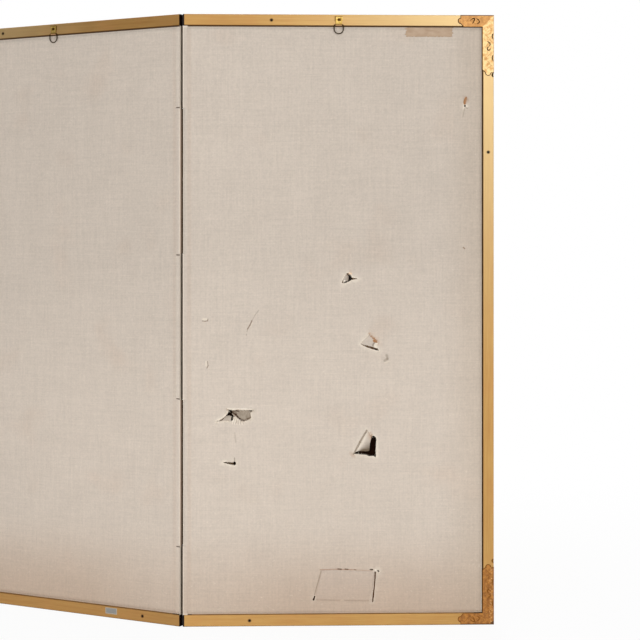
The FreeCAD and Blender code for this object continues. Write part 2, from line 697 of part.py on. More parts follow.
def hanger_screw(side, side_name):
    body = new_body(f"hanger_screw_{side_name}")
    place = [(HANGER_X, "panel_height - screw_drop")]
    shank = face_sketch(body, "-strap_thick")
    circles(shank, place, "screw_radius", side)
    pad(body, shank, "strap_thick + screw_length")
    head = face_sketch(body, "-strap_thick")
    circles(head, place, "screw_head_radius", side)
    pad(body, head, "screw_head_thick", against_normal=False)
    slot = face_sketch(body, "-strap_thick - screw_head_thick")
    x, z = place[0]
    across = (f"{x} - screw_head_radius", f"{x} + screw_head_radius")
    rectangle(slot, *across, f"{z} - slot_width / 2", f"{z} + slot_width / 2", side)
    pocket(body, slot, "slot_depth")


# What was stuck on the back in its long use.


def stuck_on():
    body = new_body("repair_patch")
    sketch = face_sketch(body, f"{CLOTH_BACK} - patch_thick")
    outline(sketch, share_points(PATCH_SHARES))
    pad(body, sketch, "patch_thick")
    tape_end = "panel_width - tape_setback"
    tape = (f"{tape_end} - tape_length", tape_end, f"{CLOTH_HIGH} - tape_height", CLOTH_HIGH)
    plate("tape_strip", 1, *tape, f"{CLOTH_BACK} - tape_thick", "tape_thick")
    label_start = "panel_width * label_share"
    label = (label_start, f"{label_start} + label_length", "label_rise", "label_rise + label_height")
    plate("paper_label", -1, *label, "-label_thick", "label_thick")


for side_name, side in SIDES.items():
    for rail_name in ("top", "bottom"):
        frame_rail(rail_name, side, side_name)
        core_rail(rail_name, side, side_name)
        corner_fitting(rail_name, side, side_name)
    outer_stile(side, side_name)
    core_stiles(side, side_name)
    lattice(side, side_name)
    back_coverings(side, side_name)
    front_coverings(side, side_name)
    fitting_pins(side, side_name)
    nails(side, side_name)
    hanger_strap(side, side_name)
    hanger_ring(side, side_name)
    hanger_screw(side, side_name)
    for number, (high, low) in enumerate(hinge_zones(), 1):
        wraps = (number % 2 == 1) == (side > 0)
        hinge_leaf(f"hinge_strip_{number}_{side_name}", side, low, high, wraps)
stuck_on()

# The whole stands with the middle of its bounding box over the origin. The right panel keeps its direction, and
# the left one turns about the fold axis.

angle = value("fold_at_rest")
turn, lean = math.cos(math.radians(angle)), math.sin(math.radians(angle))
pivot = FreeCAD.Vector(0, value(PIVOT_Y), 0)
reach = value("panel_width + fitting_thick")
left_end = -reach * turn - value(f"{PIVOT_Y} + fitting_thick") * lean
deepest = pivot.y + reach * lean - value("closing_gap + pin_head_thick") * turn
hanger_out = 2 * value(BAR_Y)
centre = FreeCAD.Vector((reach + left_end) / 2, (deepest + hanger_out) / 2, 0)
placements = {
    "right": FreeCAD.Placement(-centre, FreeCAD.Rotation()),
    "left": FreeCAD.Placement(-centre, FreeCAD.Rotation()) * FreeCAD.Placement(
        FreeCAD.Vector(), FreeCAD.Rotation(FreeCAD.Vector(0, 0, 1), -angle), pivot),
}
pieces = [thing for thing in doc.Objects if thing.TypeId == "PartDesign::Body"]
for piece in pieces:
    on_left = piece.Label.endswith("_left") or piece.Label == "paper_label"
    piece.Placement = placements["left" if on_left else "right"]
doc.recompute()

faulty = [thing.Label for thing in doc.Objects if "Invalid" in thing.State or "Error" in thing.State]
faulty += [piece.Label for piece in pieces if piece.Shape.isNull() or not piece.Shape.isValid()]
if faulty:
    raise ValueError(f"these came out faulty: {faulty}")

os.makedirs("parts", exist_ok=True)
for piece in pieces:
    piece.Shape.exportStep(f"parts/{piece.Label}.step")
    print(piece.Label, len(piece.Shape.Solids), "solids", round(piece.Shape.Volume), "mm3")
print(len(pieces), "pieces; fold axis at", pivot - centre)
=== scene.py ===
# %% [markdown]
# # A painted folding screen, seen from its cloth-covered back
# Two panels stand half open. Each has a wooden frame in gold lacquer on three sides, a core of thin bars, hemp cloth
# on the back and a painting on gold leaf on the front. A paper hinge joins them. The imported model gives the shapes
# of the wood and metal; this lesson adds the soft pieces, the ornament and every finish.

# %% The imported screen
import json
import math
import random

import bmesh
import bpy
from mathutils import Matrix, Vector, geometry, noise


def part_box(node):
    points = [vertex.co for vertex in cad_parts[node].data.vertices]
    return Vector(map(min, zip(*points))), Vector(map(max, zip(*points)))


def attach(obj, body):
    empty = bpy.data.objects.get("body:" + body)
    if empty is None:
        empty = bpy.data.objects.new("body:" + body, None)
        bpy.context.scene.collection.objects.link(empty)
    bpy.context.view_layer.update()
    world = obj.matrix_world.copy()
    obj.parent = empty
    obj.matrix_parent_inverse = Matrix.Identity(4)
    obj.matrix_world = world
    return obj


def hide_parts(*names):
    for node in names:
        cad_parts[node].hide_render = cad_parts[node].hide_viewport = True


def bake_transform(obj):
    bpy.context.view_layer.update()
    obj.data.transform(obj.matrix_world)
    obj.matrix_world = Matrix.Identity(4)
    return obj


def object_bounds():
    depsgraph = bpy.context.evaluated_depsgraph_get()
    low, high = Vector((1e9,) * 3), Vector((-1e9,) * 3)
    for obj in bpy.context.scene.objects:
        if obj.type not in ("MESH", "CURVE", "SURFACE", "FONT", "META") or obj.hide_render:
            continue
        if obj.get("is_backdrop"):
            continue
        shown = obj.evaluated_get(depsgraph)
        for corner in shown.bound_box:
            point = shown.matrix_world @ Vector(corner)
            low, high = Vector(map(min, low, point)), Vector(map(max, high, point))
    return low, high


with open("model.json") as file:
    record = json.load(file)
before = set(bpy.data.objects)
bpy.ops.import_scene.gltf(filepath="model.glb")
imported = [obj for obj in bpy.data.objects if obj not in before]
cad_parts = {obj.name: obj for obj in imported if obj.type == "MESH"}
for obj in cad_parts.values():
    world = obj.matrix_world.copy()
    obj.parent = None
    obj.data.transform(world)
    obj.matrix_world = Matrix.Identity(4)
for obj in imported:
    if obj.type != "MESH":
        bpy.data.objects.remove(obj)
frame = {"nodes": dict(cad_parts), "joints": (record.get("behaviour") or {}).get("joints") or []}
cad_low, cad_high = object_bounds()
nodes = frame["nodes"]

# %% [markdown]
# ## A panel's own measures
# Everything on a panel is easiest to place in that panel's own millimetres: x from the fold outwards, y from the
# back face of the frame towards the painting, and z up from the floor. The left panel is the right one mirrored
# and turned about the fold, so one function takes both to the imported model's frame.

# %% From panel millimetres to the screen's frame
MM = 0.001
fold = next(joint for joint in frame["joints"] if joint["name"] == "fold")
FOLD = Vector(fold["pos_m"])
PIVOT_DEEP = FOLD.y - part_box("bottom_rail_right")[0].y
TURN = math.radians(-fold["range_deg"][0])
FITTING_SHEET, THICK = 0.4, 17
HEIGHT = cad_high.z / MM - FITTING_SHEET
SIDES = ("right", "left")


def on_panel(side, x, y, z):
    """The place in the screen's frame of a place on a panel, in millimetres."""
    out, deep = MM * x, MM * y - PIVOT_DEEP
    if side == "right":
        return Vector((FOLD.x + out, FOLD.y + deep, MM * z))
    along, across = math.cos(TURN), math.sin(TURN)
    return Vector((FOLD.x - out * along + deep * across, FOLD.y + out * across + deep * along, MM * z))


print(f"the fold is {PIVOT_DEEP / MM:.2f} mm in front of the back faces, {math.degrees(TURN):.0f} degrees open")

# %% [markdown]
# ## The camera
# The photograph was taken from about four and a half metres away, at a height of one metre, with the camera level
# and its lens slid down. A slid lens keeps upright edges upright, which is why the shift is used and not a tilt.

# %% The camera
def put(name, data):
    """An object of that name in the scene, at the origin."""
    thing = bpy.data.objects.new(name, data)
    bpy.context.scene.collection.objects.link(thing)
    return thing


AIM, EYE_HEIGHT = math.radians(1.8), 1048
METRES_ASIDE, METRES_BACK = 0.3808, 4.548
SENSOR, LENS, LENS_SLIDE = 36, 92.25, -0.1110
ahead = Vector((math.sin(AIM), math.cos(AIM), 0))
aside = Vector((math.cos(AIM), -math.sin(AIM), 0))
camera_data = bpy.data.cameras.new("camera")
camera_data.sensor_width, camera_data.lens, camera_data.shift_y = SENSOR, LENS, LENS_SLIDE
camera = put("camera", camera_data)
camera.location = on_panel("right", 0, 0, EYE_HEIGHT) + METRES_ASIDE * aside - METRES_BACK * ahead
camera.rotation_euler = (math.radians(90), 0, -AIM)
bpy.context.scene.camera = camera
bpy.context.scene.view_settings.view_transform = "Standard"
print("camera at", tuple(round(v, 3) for v in camera.location))

# %% [markdown]
# ## Nodes as sentences
# A finish is easier to read as arithmetic than as a list of nodes and links. A small class wraps a node's output,
# and its operators add Math nodes. All other nodes come from one method that takes the node's type, its settings
# and what goes into its sockets.

# %% Wires and sheets of nodes
class Wire:
    """The output of a node. Arithmetic on it adds Math nodes."""

    def __init__(self, sheet, socket):
        self.sheet, self.socket = sheet, socket

    def output(self, name):
        return Wire(self.sheet, self.socket.node.outputs[name])

    def math(self, operation, first, second):
        return self.sheet.node("ShaderNodeMath", {"operation": operation}, {0: first, 1: second})

    def __add__(self, other):
        return self.math("ADD", self, other)

    def __sub__(self, other):
        return self.math("SUBTRACT", self, other)

    def __rsub__(self, other):
        return self.math("SUBTRACT", other, self)

    def __mul__(self, other):
        return self.math("MULTIPLY", self, other)

    def __pow__(self, other):
        return self.math("POWER", self, other)

    def lesser(self, other):
        return self.math("MINIMUM", self, other)

    def greater(self, other):
        return self.math("MAXIMUM", self, other)

    __radd__, __rmul__ = __add__, __mul__


class NodeSheet:
    """A node tree that is filled by one method."""

    def __init__(self, tree):
        self.tree = tree
        tree.nodes.clear()

    def node(self, kind, settings=None, sockets=None):
        made = self.tree.nodes.new(kind)
        for name, setting in (settings or {}).items():
            setattr(made, name, setting)
        for key, content in (sockets or {}).items():
            socket = made.inputs[key] if isinstance(key, int) else next(
                s for s in made.inputs if s.name == key and s.enabled)
            if isinstance(content, Wire):
                self.tree.links.new(content.socket, socket)
            else:
                socket.default_value = content
        outputs = [s for s in made.outputs if s.enabled]
        return Wire(self, outputs[0]) if outputs else made


print("wires add, subtract, multiply and raise")

# %% [markdown]
# ## Finishes in a panel's own measures
# A pattern that is laid out in the panel's own metres runs straight along the left panel as well. A Mapping node
# turns the object coordinates into them. The other methods are the few words that all the finishes share: noise
# of a given size, a soft step, a mask along a line, and a mix of two colours.

# %% The Finish class
def dye(red, green, blue):
    """A colour that is given as it shows on a screen, from 0 to 255."""
    return (*(((v / 255 + 0.055) / 1.055) ** 2.4 if v > 10 else v / 255 / 12.92 for v in (red, green, blue)), 1)


class Finish(NodeSheet):
    """A material with its patterns in the metres of one panel."""

    def __init__(self, name, side="right"):
        self.material = bpy.data.materials.new(f"{name}_{side}")
        self.material.use_nodes = True
        super().__init__(self.material.node_tree)
        turn = (0, 0, -TURN) if side == "left" else (0, 0, 0)
        whole = self.node("ShaderNodeTexCoord").output("Object")
        self.place = self.node("ShaderNodeMapping", {"vector_type": "TEXTURE"}, {
            "Vector": whole, "Location": on_panel(side, 0, 0, 0), "Rotation": turn})
        parts = self.node("ShaderNodeSeparateXYZ", {}, {"Vector": self.place})
        self.x = parts * -1 if side == "left" else parts
        self.y, self.z = parts.output("Y"), parts.output("Z")

    def noise(self, size, stretch=(1, 1, 1), detail=2.0, seed=0.0):
        """Cloudy noise from 0 to 1 with blobs of that size in metres, drawn out along each axis by stretch."""
        scaled = self.node("ShaderNodeVectorMath", {"operation": "MULTIPLY_ADD"}, {
            0: self.place, 1: [1 / (size * share) for share in stretch], 2: (seed, seed, seed)})
        return self.node("ShaderNodeTexNoise", {}, {"Vector": scaled, "Scale": 1.0, "Detail": detail})

    def rise(self, measure, low, high):
        """0 below low and 1 above high, with a soft step between them."""
        return self.node("ShaderNodeMapRange", {"interpolation_type": "SMOOTHSTEP"}, {
            "Value": measure, "From Min": low, "From Max": high})

    def mix(self, share, first, second, way="MIX"):
        return self.node("ShaderNodeMix", {"data_type": "RGBA", "blend_type": way}, {
            "Factor": share, "A": first, "B": second})

    def marked(self, name):
        """What the mesh says of each of its points under that name."""
        return self.node("ShaderNodeAttribute", {"attribute_name": name}).output("Fac")

    def stroke(self, start, end, width):
        """1 on a line between two places on the panel, in millimetres, and 0 beyond its width."""
        run = [MM * (b - a) for a, b in zip(start, end)]
        across, up = self.x - MM * start[0], self.z - MM * start[1]
        length_squared = run[0] ** 2 + run[1] ** 2
        share = (across * (run[0] / length_squared) + up * (run[1] / length_squared)).greater(0).lesser(1)
        gap = ((across - share * run[0]) ** 2 + (up - share * run[1]) ** 2) ** 0.5
        return self.rise(gap, MM * width, 0.3 * MM * width)

    def cover(self, colour, roughness, height=None, relief=0.0005, metallic=0.0, coat=0.0, shine=0.5):
        """The finished material. Relief is the depth in metres of what height shows from 0 to 1."""
        sockets = {"Base Color": colour, "Roughness": roughness, "Metallic": metallic, "Coat Weight": coat,
                   "Coat Roughness": 0.4, "Specular IOR Level": shine}
        if height is not None:
            sockets["Normal"] = self.node("ShaderNodeBump", {}, {"Height": height, "Distance": relief})
        surface = self.node("ShaderNodeBsdfPrincipled", {}, sockets)
        self.node("ShaderNodeOutputMaterial", {}, {"Surface": surface})
        return self.material


print("cloth colour as the shader takes it:", [round(v, 3) for v in dye(205, 192, 178)])

# %% [markdown]
# ## The studio
# The photograph has a white ground and soft light that comes a little more from the upper right. The world gives
# an even light, and what the camera, the metal and the glass see of it is plain white. The floor does the same but
# keeps the screen's shadow. A dark card far to the left, which only gloss can see, gives the left rails their depth.

# %% White ground and floor
def seen_directly(sheet):
    """1 for what the camera, a gloss or a glass looks at, and 0 for light that bounces."""
    path = sheet.node("ShaderNodeLightPath")
    return path.greater(path.output("Is Glossy Ray")).greater(path.output("Is Transmission Ray"))


world = bpy.data.worlds.new("studio")
world.use_nodes = True
bpy.context.scene.world = world
sky = NodeSheet(world.node_tree)
ambient = sky.node("ShaderNodeBackground", {}, {"Color": (0.97, 0.98, 1.0, 1), "Strength": 0.50})
ground = sky.node("ShaderNodeBackground", {}, {"Color": (1, 1, 1, 1), "Strength": 1.0})
sky.node("ShaderNodeOutputWorld", {}, {
    "Surface": sky.node("ShaderNodeMixShader", {}, {0: seen_directly(sky), 1: ambient, 2: ground})})

floor_paper = bpy.data.materials.new("studio_floor")
floor_paper.use_nodes = True
paper = NodeSheet(floor_paper.node_tree)
spread = paper.node("ShaderNodeVectorMath", {"operation": "LENGTH"}, {
    0: paper.node("ShaderNodeTexCoord").output("Object")}).output("Value")
far = paper.node("ShaderNodeMapRange", {}, {"Value": spread, "From Min": 1.2, "From Max": 3.5, "To Min": 0.93})
matt = paper.node("ShaderNodeBsdfDiffuse", {}, {"Color": (0.92, 0.92, 0.92, 1)})
glow = paper.node("ShaderNodeEmission", {}, {"Color": (1, 1, 1, 1), "Strength": 1.0})
paper.node("ShaderNodeOutputMaterial", {}, {
    "Surface": paper.node("ShaderNodeMixShader", {}, {0: seen_directly(paper) * far, 1: matt, 2: glow})})
FLOOR_RADIUS = 14
bpy.ops.mesh.primitive_circle_add(vertices=96, radius=FLOOR_RADIUS, fill_type="NGON")
floor = bpy.context.object
floor.name = "studio_floor"
floor.data.materials.append(floor_paper)
floor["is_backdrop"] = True
print("white ground and a floor of", 2 * FLOOR_RADIUS, "m")

# %% Lamps and the dark card
def soft_lamp(name, place, target, size, power):
    """A round lamp of that size in metres and power in watts, turned to its target."""
    data = bpy.data.lights.new(name, "AREA")
    data.shape, data.size, data.energy = "DISK", size, power
    lamp = put(name, data)
    lamp.location = place
    lamp.rotation_euler = (Vector(target) - Vector(place)).to_track_quat("-Z", "Y").to_euler()


soft_lamp("key", (2.15, -4.6, 2.75), (0.5, -0.2, 1.1), 1.3, 51)
soft_lamp("fill", (-1.6, -4.6, 1.0), (0.1, 0, 0.5), 2.0, 66)
soft_lamp("front_wash", (0.5, 4.6, 2.6), (0, 0, 0.8), 2.4, 110)
card_dye = bpy.data.materials.new("dark_card")
card_dye.use_nodes = True
dark = NodeSheet(card_dye.node_tree)
dark.node("ShaderNodeOutputMaterial", {}, {
    "Surface": dark.node("ShaderNodeBsdfDiffuse", {}, {"Color": (0.03, 0.03, 0.03, 1)})})
bpy.ops.mesh.primitive_plane_add(size=5, location=(-4.5, -1.2, 2.2), rotation=(0, math.radians(90), 0))
card = bpy.context.object
card.name = "dark_card"
card.data.materials.append(card_dye)
card.visible_camera = card.visible_diffuse = card.visible_shadow = False
card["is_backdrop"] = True
print("three soft lamps and a dark card")

# %% [markdown]
# ## Making a piece
# A new piece is a mesh whose points are given in a panel's millimetres and stored in the screen's frame, so its
# object stays at the origin. Mirroring turns a face inside out, so the left panel's faces are turned back.

# %% Pieces
def new_piece(name, side, points, faces, *materials, edges=()):
    """A piece from places on a panel, in millimetres."""
    mesh = bpy.data.meshes.new(name)
    mesh.from_pydata([on_panel(side, *p) for p in points], edges, faces)
    if side == "left":
        mesh.flip_normals()
    for material in materials:
        mesh.materials.append(material)
    return put(name, mesh)


def settle(piece, side, slot, *replaced):
    """The piece moves with its panel and stands for these nodes, which it hides. The slot is not used."""
    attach(piece, f"{side}_panel")
    if replaced:
        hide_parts(*replaced)
    return piece


def thicken(piece, millimetres):
    """Gives a sheet its thickness, inwards from the face that was drawn."""
    solid = piece.modifiers.new("thickness", "SOLIDIFY")
    solid.thickness, solid.offset = MM * millimetres, -1
    return piece


def wobble(x, z, size, seed=0.0):
    """Smooth noise from about -1 to 1 over the panel."""
    return 2 * noise.noise(Vector((x / size, z / size, seed)))


print("pieces are drawn in millimetres and kept in metres")

# %% [markdown]
# ## Hemp cloth
# The back is covered with old hemp cloth in a plain weave, with thicker slubs here and there. At the photograph's
# distance only the slubs show, as faint upright and level streaks. Both are noise drawn out along the threads, finer
# for the threads and coarser for the slubs. Brown drifts in from the bottom, and torn edges are paler. Painted shade
# darkens the cloth towards the outer stile, painted light makes its lower part lighter, and a painted highlight runs
# along its rim by the frame. What a mesh says of its points, pale, shaded or scorched, goes over that.

# %% The finish of the cloth
def hemp_cloth(side, name="hemp_cloth", tone=(208, 195, 181), streaks=1.0):
    f = Finish(name, side)
    warp = f.noise(0.0016, (1, 1, 40), 2.0, 3.0)
    weft = f.noise(0.0016, (40, 1, 1), 2.0, 7.0)
    slubs = f.noise(0.0042, (1, 1, 22), 1.0, 11.0) + f.noise(0.0042, (22, 1, 1), 1.0, 15.0)
    clouds = f.noise(0.09, detail=3.0, seed=19.0)
    broad = f.noise(0.45, detail=1.0, seed=23.0)
    light = 0.955 + streaks * (0.14 * (warp - 0.5) + 0.14 * (weft - 0.5) + 0.09 * (slubs - 1))
    light = light + 0.10 * (clouds - 0.5) + 0.06 * (broad - 0.5)
    # Painted light: the cloth is made lighter below about 1.15 m, fully so below half a metre.
    light = light + 0.22 * (f.noise(0.005, detail=2.0, seed=35.0) - 0.5) + 0.12 * f.rise(f.z, 1.15, 0.50)
    damp_foot = f.rise(f.z, 0.30, 0.03) * (0.55 + 0.25 * f.rise(f.x, 0.05, 0.35))
    colour = f.mix(damp_foot, dye(*tone), dye(190, 168, 148))
    # Painted shade: the cloth is darker towards the outer stile.
    painted_shade_by_stile = f.rise(f.x, 0.70, 0.84) * 0.45
    colour = f.mix(painted_shade_by_stile, colour, dye(188, 170, 150))
    faint_stains = f.rise(f.noise(0.16, detail=2.0, seed=31.0), 0.55, 0.8) * 0.35
    colour = f.mix(faint_stains, colour, dye(203, 182, 164))
    glue = f.rise(f.x, 0.010, 0.016) * f.rise(f.x, 0.027, 0.019) * f.noise(0.12, (0.2, 1, 1), 2.0, 41.0)
    colour = f.mix(glue * 0.4, colour, dye(194, 168, 146))
    flecks = f.rise(f.noise(0.0045, (1.6, 1, 0.8), 1.0, 45.0), 0.68, 0.78)
    colour = f.mix(flecks * 0.35, colour, dye(228, 217, 202))
    colour = f.mix(1.0, colour, f.node("ShaderNodeCombineColor", {}, {0: light, 1: light, 2: light}), "MULTIPLY")
    fold_edge = f.rise(f.x, 0.0040, 0.0018) * 0.4
    # Painted highlight: the cloth is paler along its rim by the stile, more so lower down, and by the top and foot.
    painted_highlight_on_side_rim = f.rise(f.x, 0.8290, 0.8312) * (0.15 + 0.7 * f.rise(f.z, 1.2, 0.4))
    painted_highlight_on_end_rims = f.rise(f.z, 0.0375, 0.0360).greater(f.rise(f.z, 1.6618, 1.6634)) * 0.3
    # Pale torn rims and fold edge, together with the painted highlight on the rim.
    pale_rims_and_painted_highlight = (f.marked("pale") * 0.9).greater(fold_edge).greater(painted_highlight_on_side_rim.greater(painted_highlight_on_end_rims))
    colour = f.mix(pale_rims_and_painted_highlight, colour, dye(248, 236, 218))
    colour = f.mix(f.marked("shaded") * 0.9, colour, dye(98, 80, 58))
    colour = f.mix(f.marked("scorched"), colour, dye(168, 122, 84))
    return f, colour, warp + weft + 0.7 * slubs


def stroked(f, colour, marks):
    """The colour with each mark laid over it."""
    for start, end, width, strength, shade in marks:
        colour = f.mix(f.stroke(start, end, width) * strength, colour, dye(*shade))
    return colour


def worn_cloth(side, *details, marks=()):
    f, colour, height = hemp_cloth(side, *details)
    return f.cover(stroked(f, colour, marks), 0.9, height, 0.00022, shine=0.1)


print("hemp cloth: threads, slubs, clouds and stains")

# %% [markdown]
# The right back has a scratch, the cut round the patch, pale rims and frayed threads at its tears, and small dark
# spots. Painted highlights and painted shade give the little blisters their relief, painted shade lies between the
# frayed threads, and a painted shadow runs beside the large tear. They are only a few millimetres wide and stay where
# they are on the panel, so they are painted as strokes between two places. The left back has a short slit at every
# joint between two hinge strips.

# %% Marks on the backs
def strokes(lines):
    """A stroke from each place (x, z) of a line to the next, with the line's width, strength and shade."""
    return [(start, end, *look) for places, *look in lines for start, end in zip(places, places[1:])]


SCRATCH = (
    (((211, 878), (201, 865), (191.5, 848)), 2.0, 0.4, (152, 134, 114)),
    (((191.5, 848), (186, 836), (180, 826)), 2.6, 0.8, (132, 110, 92)),
    (((180, 826), (178, 818)), 1.8, 0.5, (150, 130, 110)),
    (((177, 812), (176.5, 808)), 1.8, 0.45, (150, 130, 110)),
    (((194.5, 845), (188, 831)), 2.2, 0.45, (228, 214, 196)),
)
PATCH_CUT = (
    (((381, 155.6), (427, 157), (471, 155.2)), 1.9, 0.75, (168, 130, 108)),
    (((471, 155.2), (500, 153.6), (524, 152)), 1.7, 0.5, (172, 138, 116)),
    (((431, 157.4), (440, 156.6)), 2.8, 0.9, (96, 68, 44)),
    (((451, 157), (459, 156.2)), 2.6, 0.85, (104, 76, 50)),
    (((476, 155.2), (481, 154.6)), 2.4, 0.7, (120, 90, 64)),
    (((384, 152), (366, 86)), 2.4, 0.6, (142, 124, 106)),
    (((366, 69), (526, 66)), 2.0, 0.12, (160, 140, 120)),
    (((535, 154.5), (537, 153.5)), 3.4, 0.8, (250, 238, 222)),
)
# Painted highlights and painted shade that give the blisters by the fold and by the curled tear their relief.
BLISTER_LIGHT_AND_SHADE = (
    (((57, 853), (66, 853)), 4.5, 0.6, (236, 224, 206)),
    (((54, 848.2), (62, 847.4), (69, 848.6), (69.8, 853)), 2.0, 0.75, (140, 116, 96)),
    (((64.5, 735), (64.5, 724)), 3.6, 0.6, (236, 224, 206)),
    (((69.1, 735.5), (70.2, 724), (67, 717)), 1.9, 0.7, (140, 116, 96)),
    (((567, 752), (569, 742), (561, 737)), 5.0, 0.45, (140, 124, 106)),
    (((573, 735), (562, 731)), 3.0, 0.6, (228, 214, 196)),
)
TEAR_RIMS_AND_SHADOW = (
    (((449, 959.4), (450.4, 959.6)), 1.9, 1.0, (255, 246, 234)),
    (((462, 980.5), (468, 979)), 3.4, 0.9, (255, 226, 194)),
    (((467, 981.5), (470, 978)), 1.8, 0.6, (214, 176, 140)),
    (((471, 973), (471.5, 966)), 1.8, 0.5, (244, 232, 216)),
    (((541.8, 470), (541.2, 508)), 2.4, 0.5, (244, 232, 216)),
    (((92, 571.5), (108, 579), (117, 587), (123, 597)), 2.2, 0.55, (246, 234, 216)),
    (((124, 605), (141, 603.4), (154, 604.2), (176, 603.8)), 2.4, 0.65, (248, 237, 220)),
    (((112, 458.5), (122, 459.5)), 2.2, 0.5, (240, 228, 210)),
    (((128, 447), (140, 445)), 2.2, 0.55, (240, 228, 210)),
    # A painted shadow beside the held side of the large tear.
    (((511, 543), (492, 511), (474.5, 477)), 3.4, 0.75, (136, 118, 98)),
)
SPOTS = (
    (((785, 1440), (780, 1417)), 2.2, 0.5, (158, 142, 124)),
    (((787, 1443), (792, 1440)), 2.6, 0.5, (150, 134, 116)),
    (((144, 537), (147, 511)), 3.0, 0.3, (158, 142, 124)),
    (((143.4, 467), (143.8, 459)), 3.0, 0.6, (146, 130, 112)),
    (((781, 1052), (785, 1049)), 2.8, 0.75, (136, 108, 84)),
)
# Pale frayed threads below the ragged tear, with strokes of painted shade between them.
FRAYED_THREADS_AND_SHADE = tuple(
    line for k, slant in enumerate((-2, -2, -1, 1, 3)) for line in (
        (((141 + 5.5 * k, 576 - k), (140 + 5.5 * k + slant, 562 - 0.6 * k)), 1.7, 0.6, (250, 238, 222)),
        (((144 + 5.5 * k, 575 - k), (143 + 5.5 * k + slant, 564 - 0.6 * k)), 1.3, 0.45, (166, 146, 126))))
SLIT_HEIGHTS = (1441, 1031.5, 632, 221.5)
RIGHT_MARKS = strokes(SCRATCH + PATCH_CUT + BLISTER_LIGHT_AND_SHADE + TEAR_RIMS_AND_SHADOW + SPOTS + FRAYED_THREADS_AND_SHADE)
LEFT_MARKS = strokes([(((10.5, z), (1.5, z - 0.5)), 2.4, 0.85, (66, 46, 30)) for z in SLIT_HEIGHTS])
CLOTH = {"right": worn_cloth("right", "torn_hemp_cloth", marks=RIGHT_MARKS),
         "left": worn_cloth("left", marks=LEFT_MARKS)}
print(len(RIGHT_MARKS), "strokes on the right,", len(LEFT_MARKS), "on the left")

# %% [markdown]
# ## The torn back
# Each tear is an outline on the cloth in the panel's millimetres, read from the photograph by its corners. Real
# threads break unevenly, so every outline is cut into short steps that wander a little. A mesh that goes round such
# holes is best made by a constrained triangulation: it keeps each outline as edges and fills the rest with even
# triangles. The triangles inside the outlines are then left out.

# %% Outlines of the tears
TEARS = {
    "arrow": ((455, 981), (460, 980.5), (465, 979.5), (468, 972), (469.5, 968.5), (479, 967), (488, 964.8),
              (478, 963), (469, 961.5), (461.8, 957.5), (453, 954), (446.2, 952), (441.3, 953.6), (443, 960),
              (449, 971)),
    "curled": ((519.4, 811), (523, 805), (531, 800), (537, 794), (540.5, 786), (540, 777), (541.5, 771), (545, 764.5),
               (537, 766), (528, 768.5), (511, 774), (501, 778.8), (493, 783.7), (501, 792), (510, 801)),
    "ragged": ((92.9, 568.2), (108.4, 575.8), (118.3, 583.6), (125, 592), (127.5, 599), (124.5, 602), (141, 600.4),
               (154, 601.2), (161, 600.4), (175, 600.8), (187, 600.6), (197.8, 599.4), (193, 596.8), (187, 592),
               (189, 584.5), (190, 578.9), (182, 573), (169.3, 568.6), (159, 572), (153.5, 577.5), (146.6, 583.5),
               (141, 581), (139, 573), (134.6, 568.4), (129, 570.5), (121, 571.5), (108, 570.5)),
    "large": ((512.3, 543.3), (503, 526), (492, 506), (483, 489.5), (476, 477), (484.7, 477.3), (492.5, 476.2),
              (500.3, 475.4), (511, 474.4), (516.7, 471.2), (528.7, 471.8), (536, 468), (537.2, 474), (536, 486),
              (536.8, 500), (537.5, 510.6), (538.5, 518), (536.5, 524), (531.5, 528), (526, 527), (521.5, 531),
              (516.7, 538)),
    "slit": ((110.5, 455.8), (120, 456.8), (130, 455.8), (138, 455.2), (143.8, 458.4), (148, 455.4), (148.4, 449.6),
             (143.8, 446.6), (135.3, 448.8), (124, 451.4), (115, 454)),
    "pinhole": ((782.8, 1448.4), (785.4, 1450), (788, 1448.6), (788.2, 1445.6), (785.6, 1443.6), (783, 1444.8)),
    "patch_side": ((533, 150.5), (537, 149), (536, 130), (533.6, 105), (531.4, 80), (528.6, 64), (526, 66),
                   (527.2, 80), (530.2, 105), (532.4, 130)),
    "patch_foot": ((365.6, 84), (368.6, 82.5), (365.6, 70.5), (361, 69.6), (360.4, 73)),
    "patch_nick": ((519, 156.6), (525.5, 158), (530.4, 155), (527, 152.4), (521, 153.6)),
    "corner_nick": ((539.4, 155), (545, 153.4), (547.6, 149), (543.6, 148.4), (540, 151.6)),
}


def stepped(outline, step=2.2, stray=0.35, seed=1):
    """The outline in short steps that wander a little to either side."""
    rng = random.Random(seed)
    points = []
    for (x0, z0), (x1, z1) in zip(outline, (*outline[1:], outline[0])):
        count = max(1, round(math.hypot(x1 - x0, z1 - z0) / step))
        for k in range(count):
            stray_here = stray if k else 0.15
            points.append((x0 + (x1 - x0) * k / count + rng.uniform(-stray_here, stray_here),
                           z0 + (z1 - z0) * k / count + rng.uniform(-stray_here, stray_here)))
    return points


TORN = {name: stepped(outline, seed=n) for n, (name, outline) in enumerate(TEARS.items())}
print({name: len(points) for name, points in TORN.items()})

# %% A sheet with holes
def clamp(share):
    return max(0.0, min(1.0, share))


def inside(x, z, outline):
    hit = False
    for (x0, z0), (x1, z1) in zip(outline, (*outline[1:], outline[0])):
        if (z0 > z) != (z1 > z) and x < x0 + (x1 - x0) * (z - z0) / (z1 - z0):
            hit = not hit
    return hit


def distance_to(x, z, outline):
    """How far a place is from an outline."""
    best = 1e9
    for (x0, z0), (x1, z1) in zip(outline, (*outline[1:], outline[0])):
        run, rise = x1 - x0, z1 - z0
        share = clamp(((x - x0) * run + (z - z0) * rise) / (run * run + rise * rise + 1e-9))
        best = min(best, math.hypot(x - x0 - share * run, z - z0 - share * rise))
    return best


def near_box(x, z, outline, margin):
    return (min(p[0] for p in outline) - margin < x < max(p[0] for p in outline) + margin
            and min(p[1] for p in outline) - margin < z < max(p[1] for p in outline) + margin)


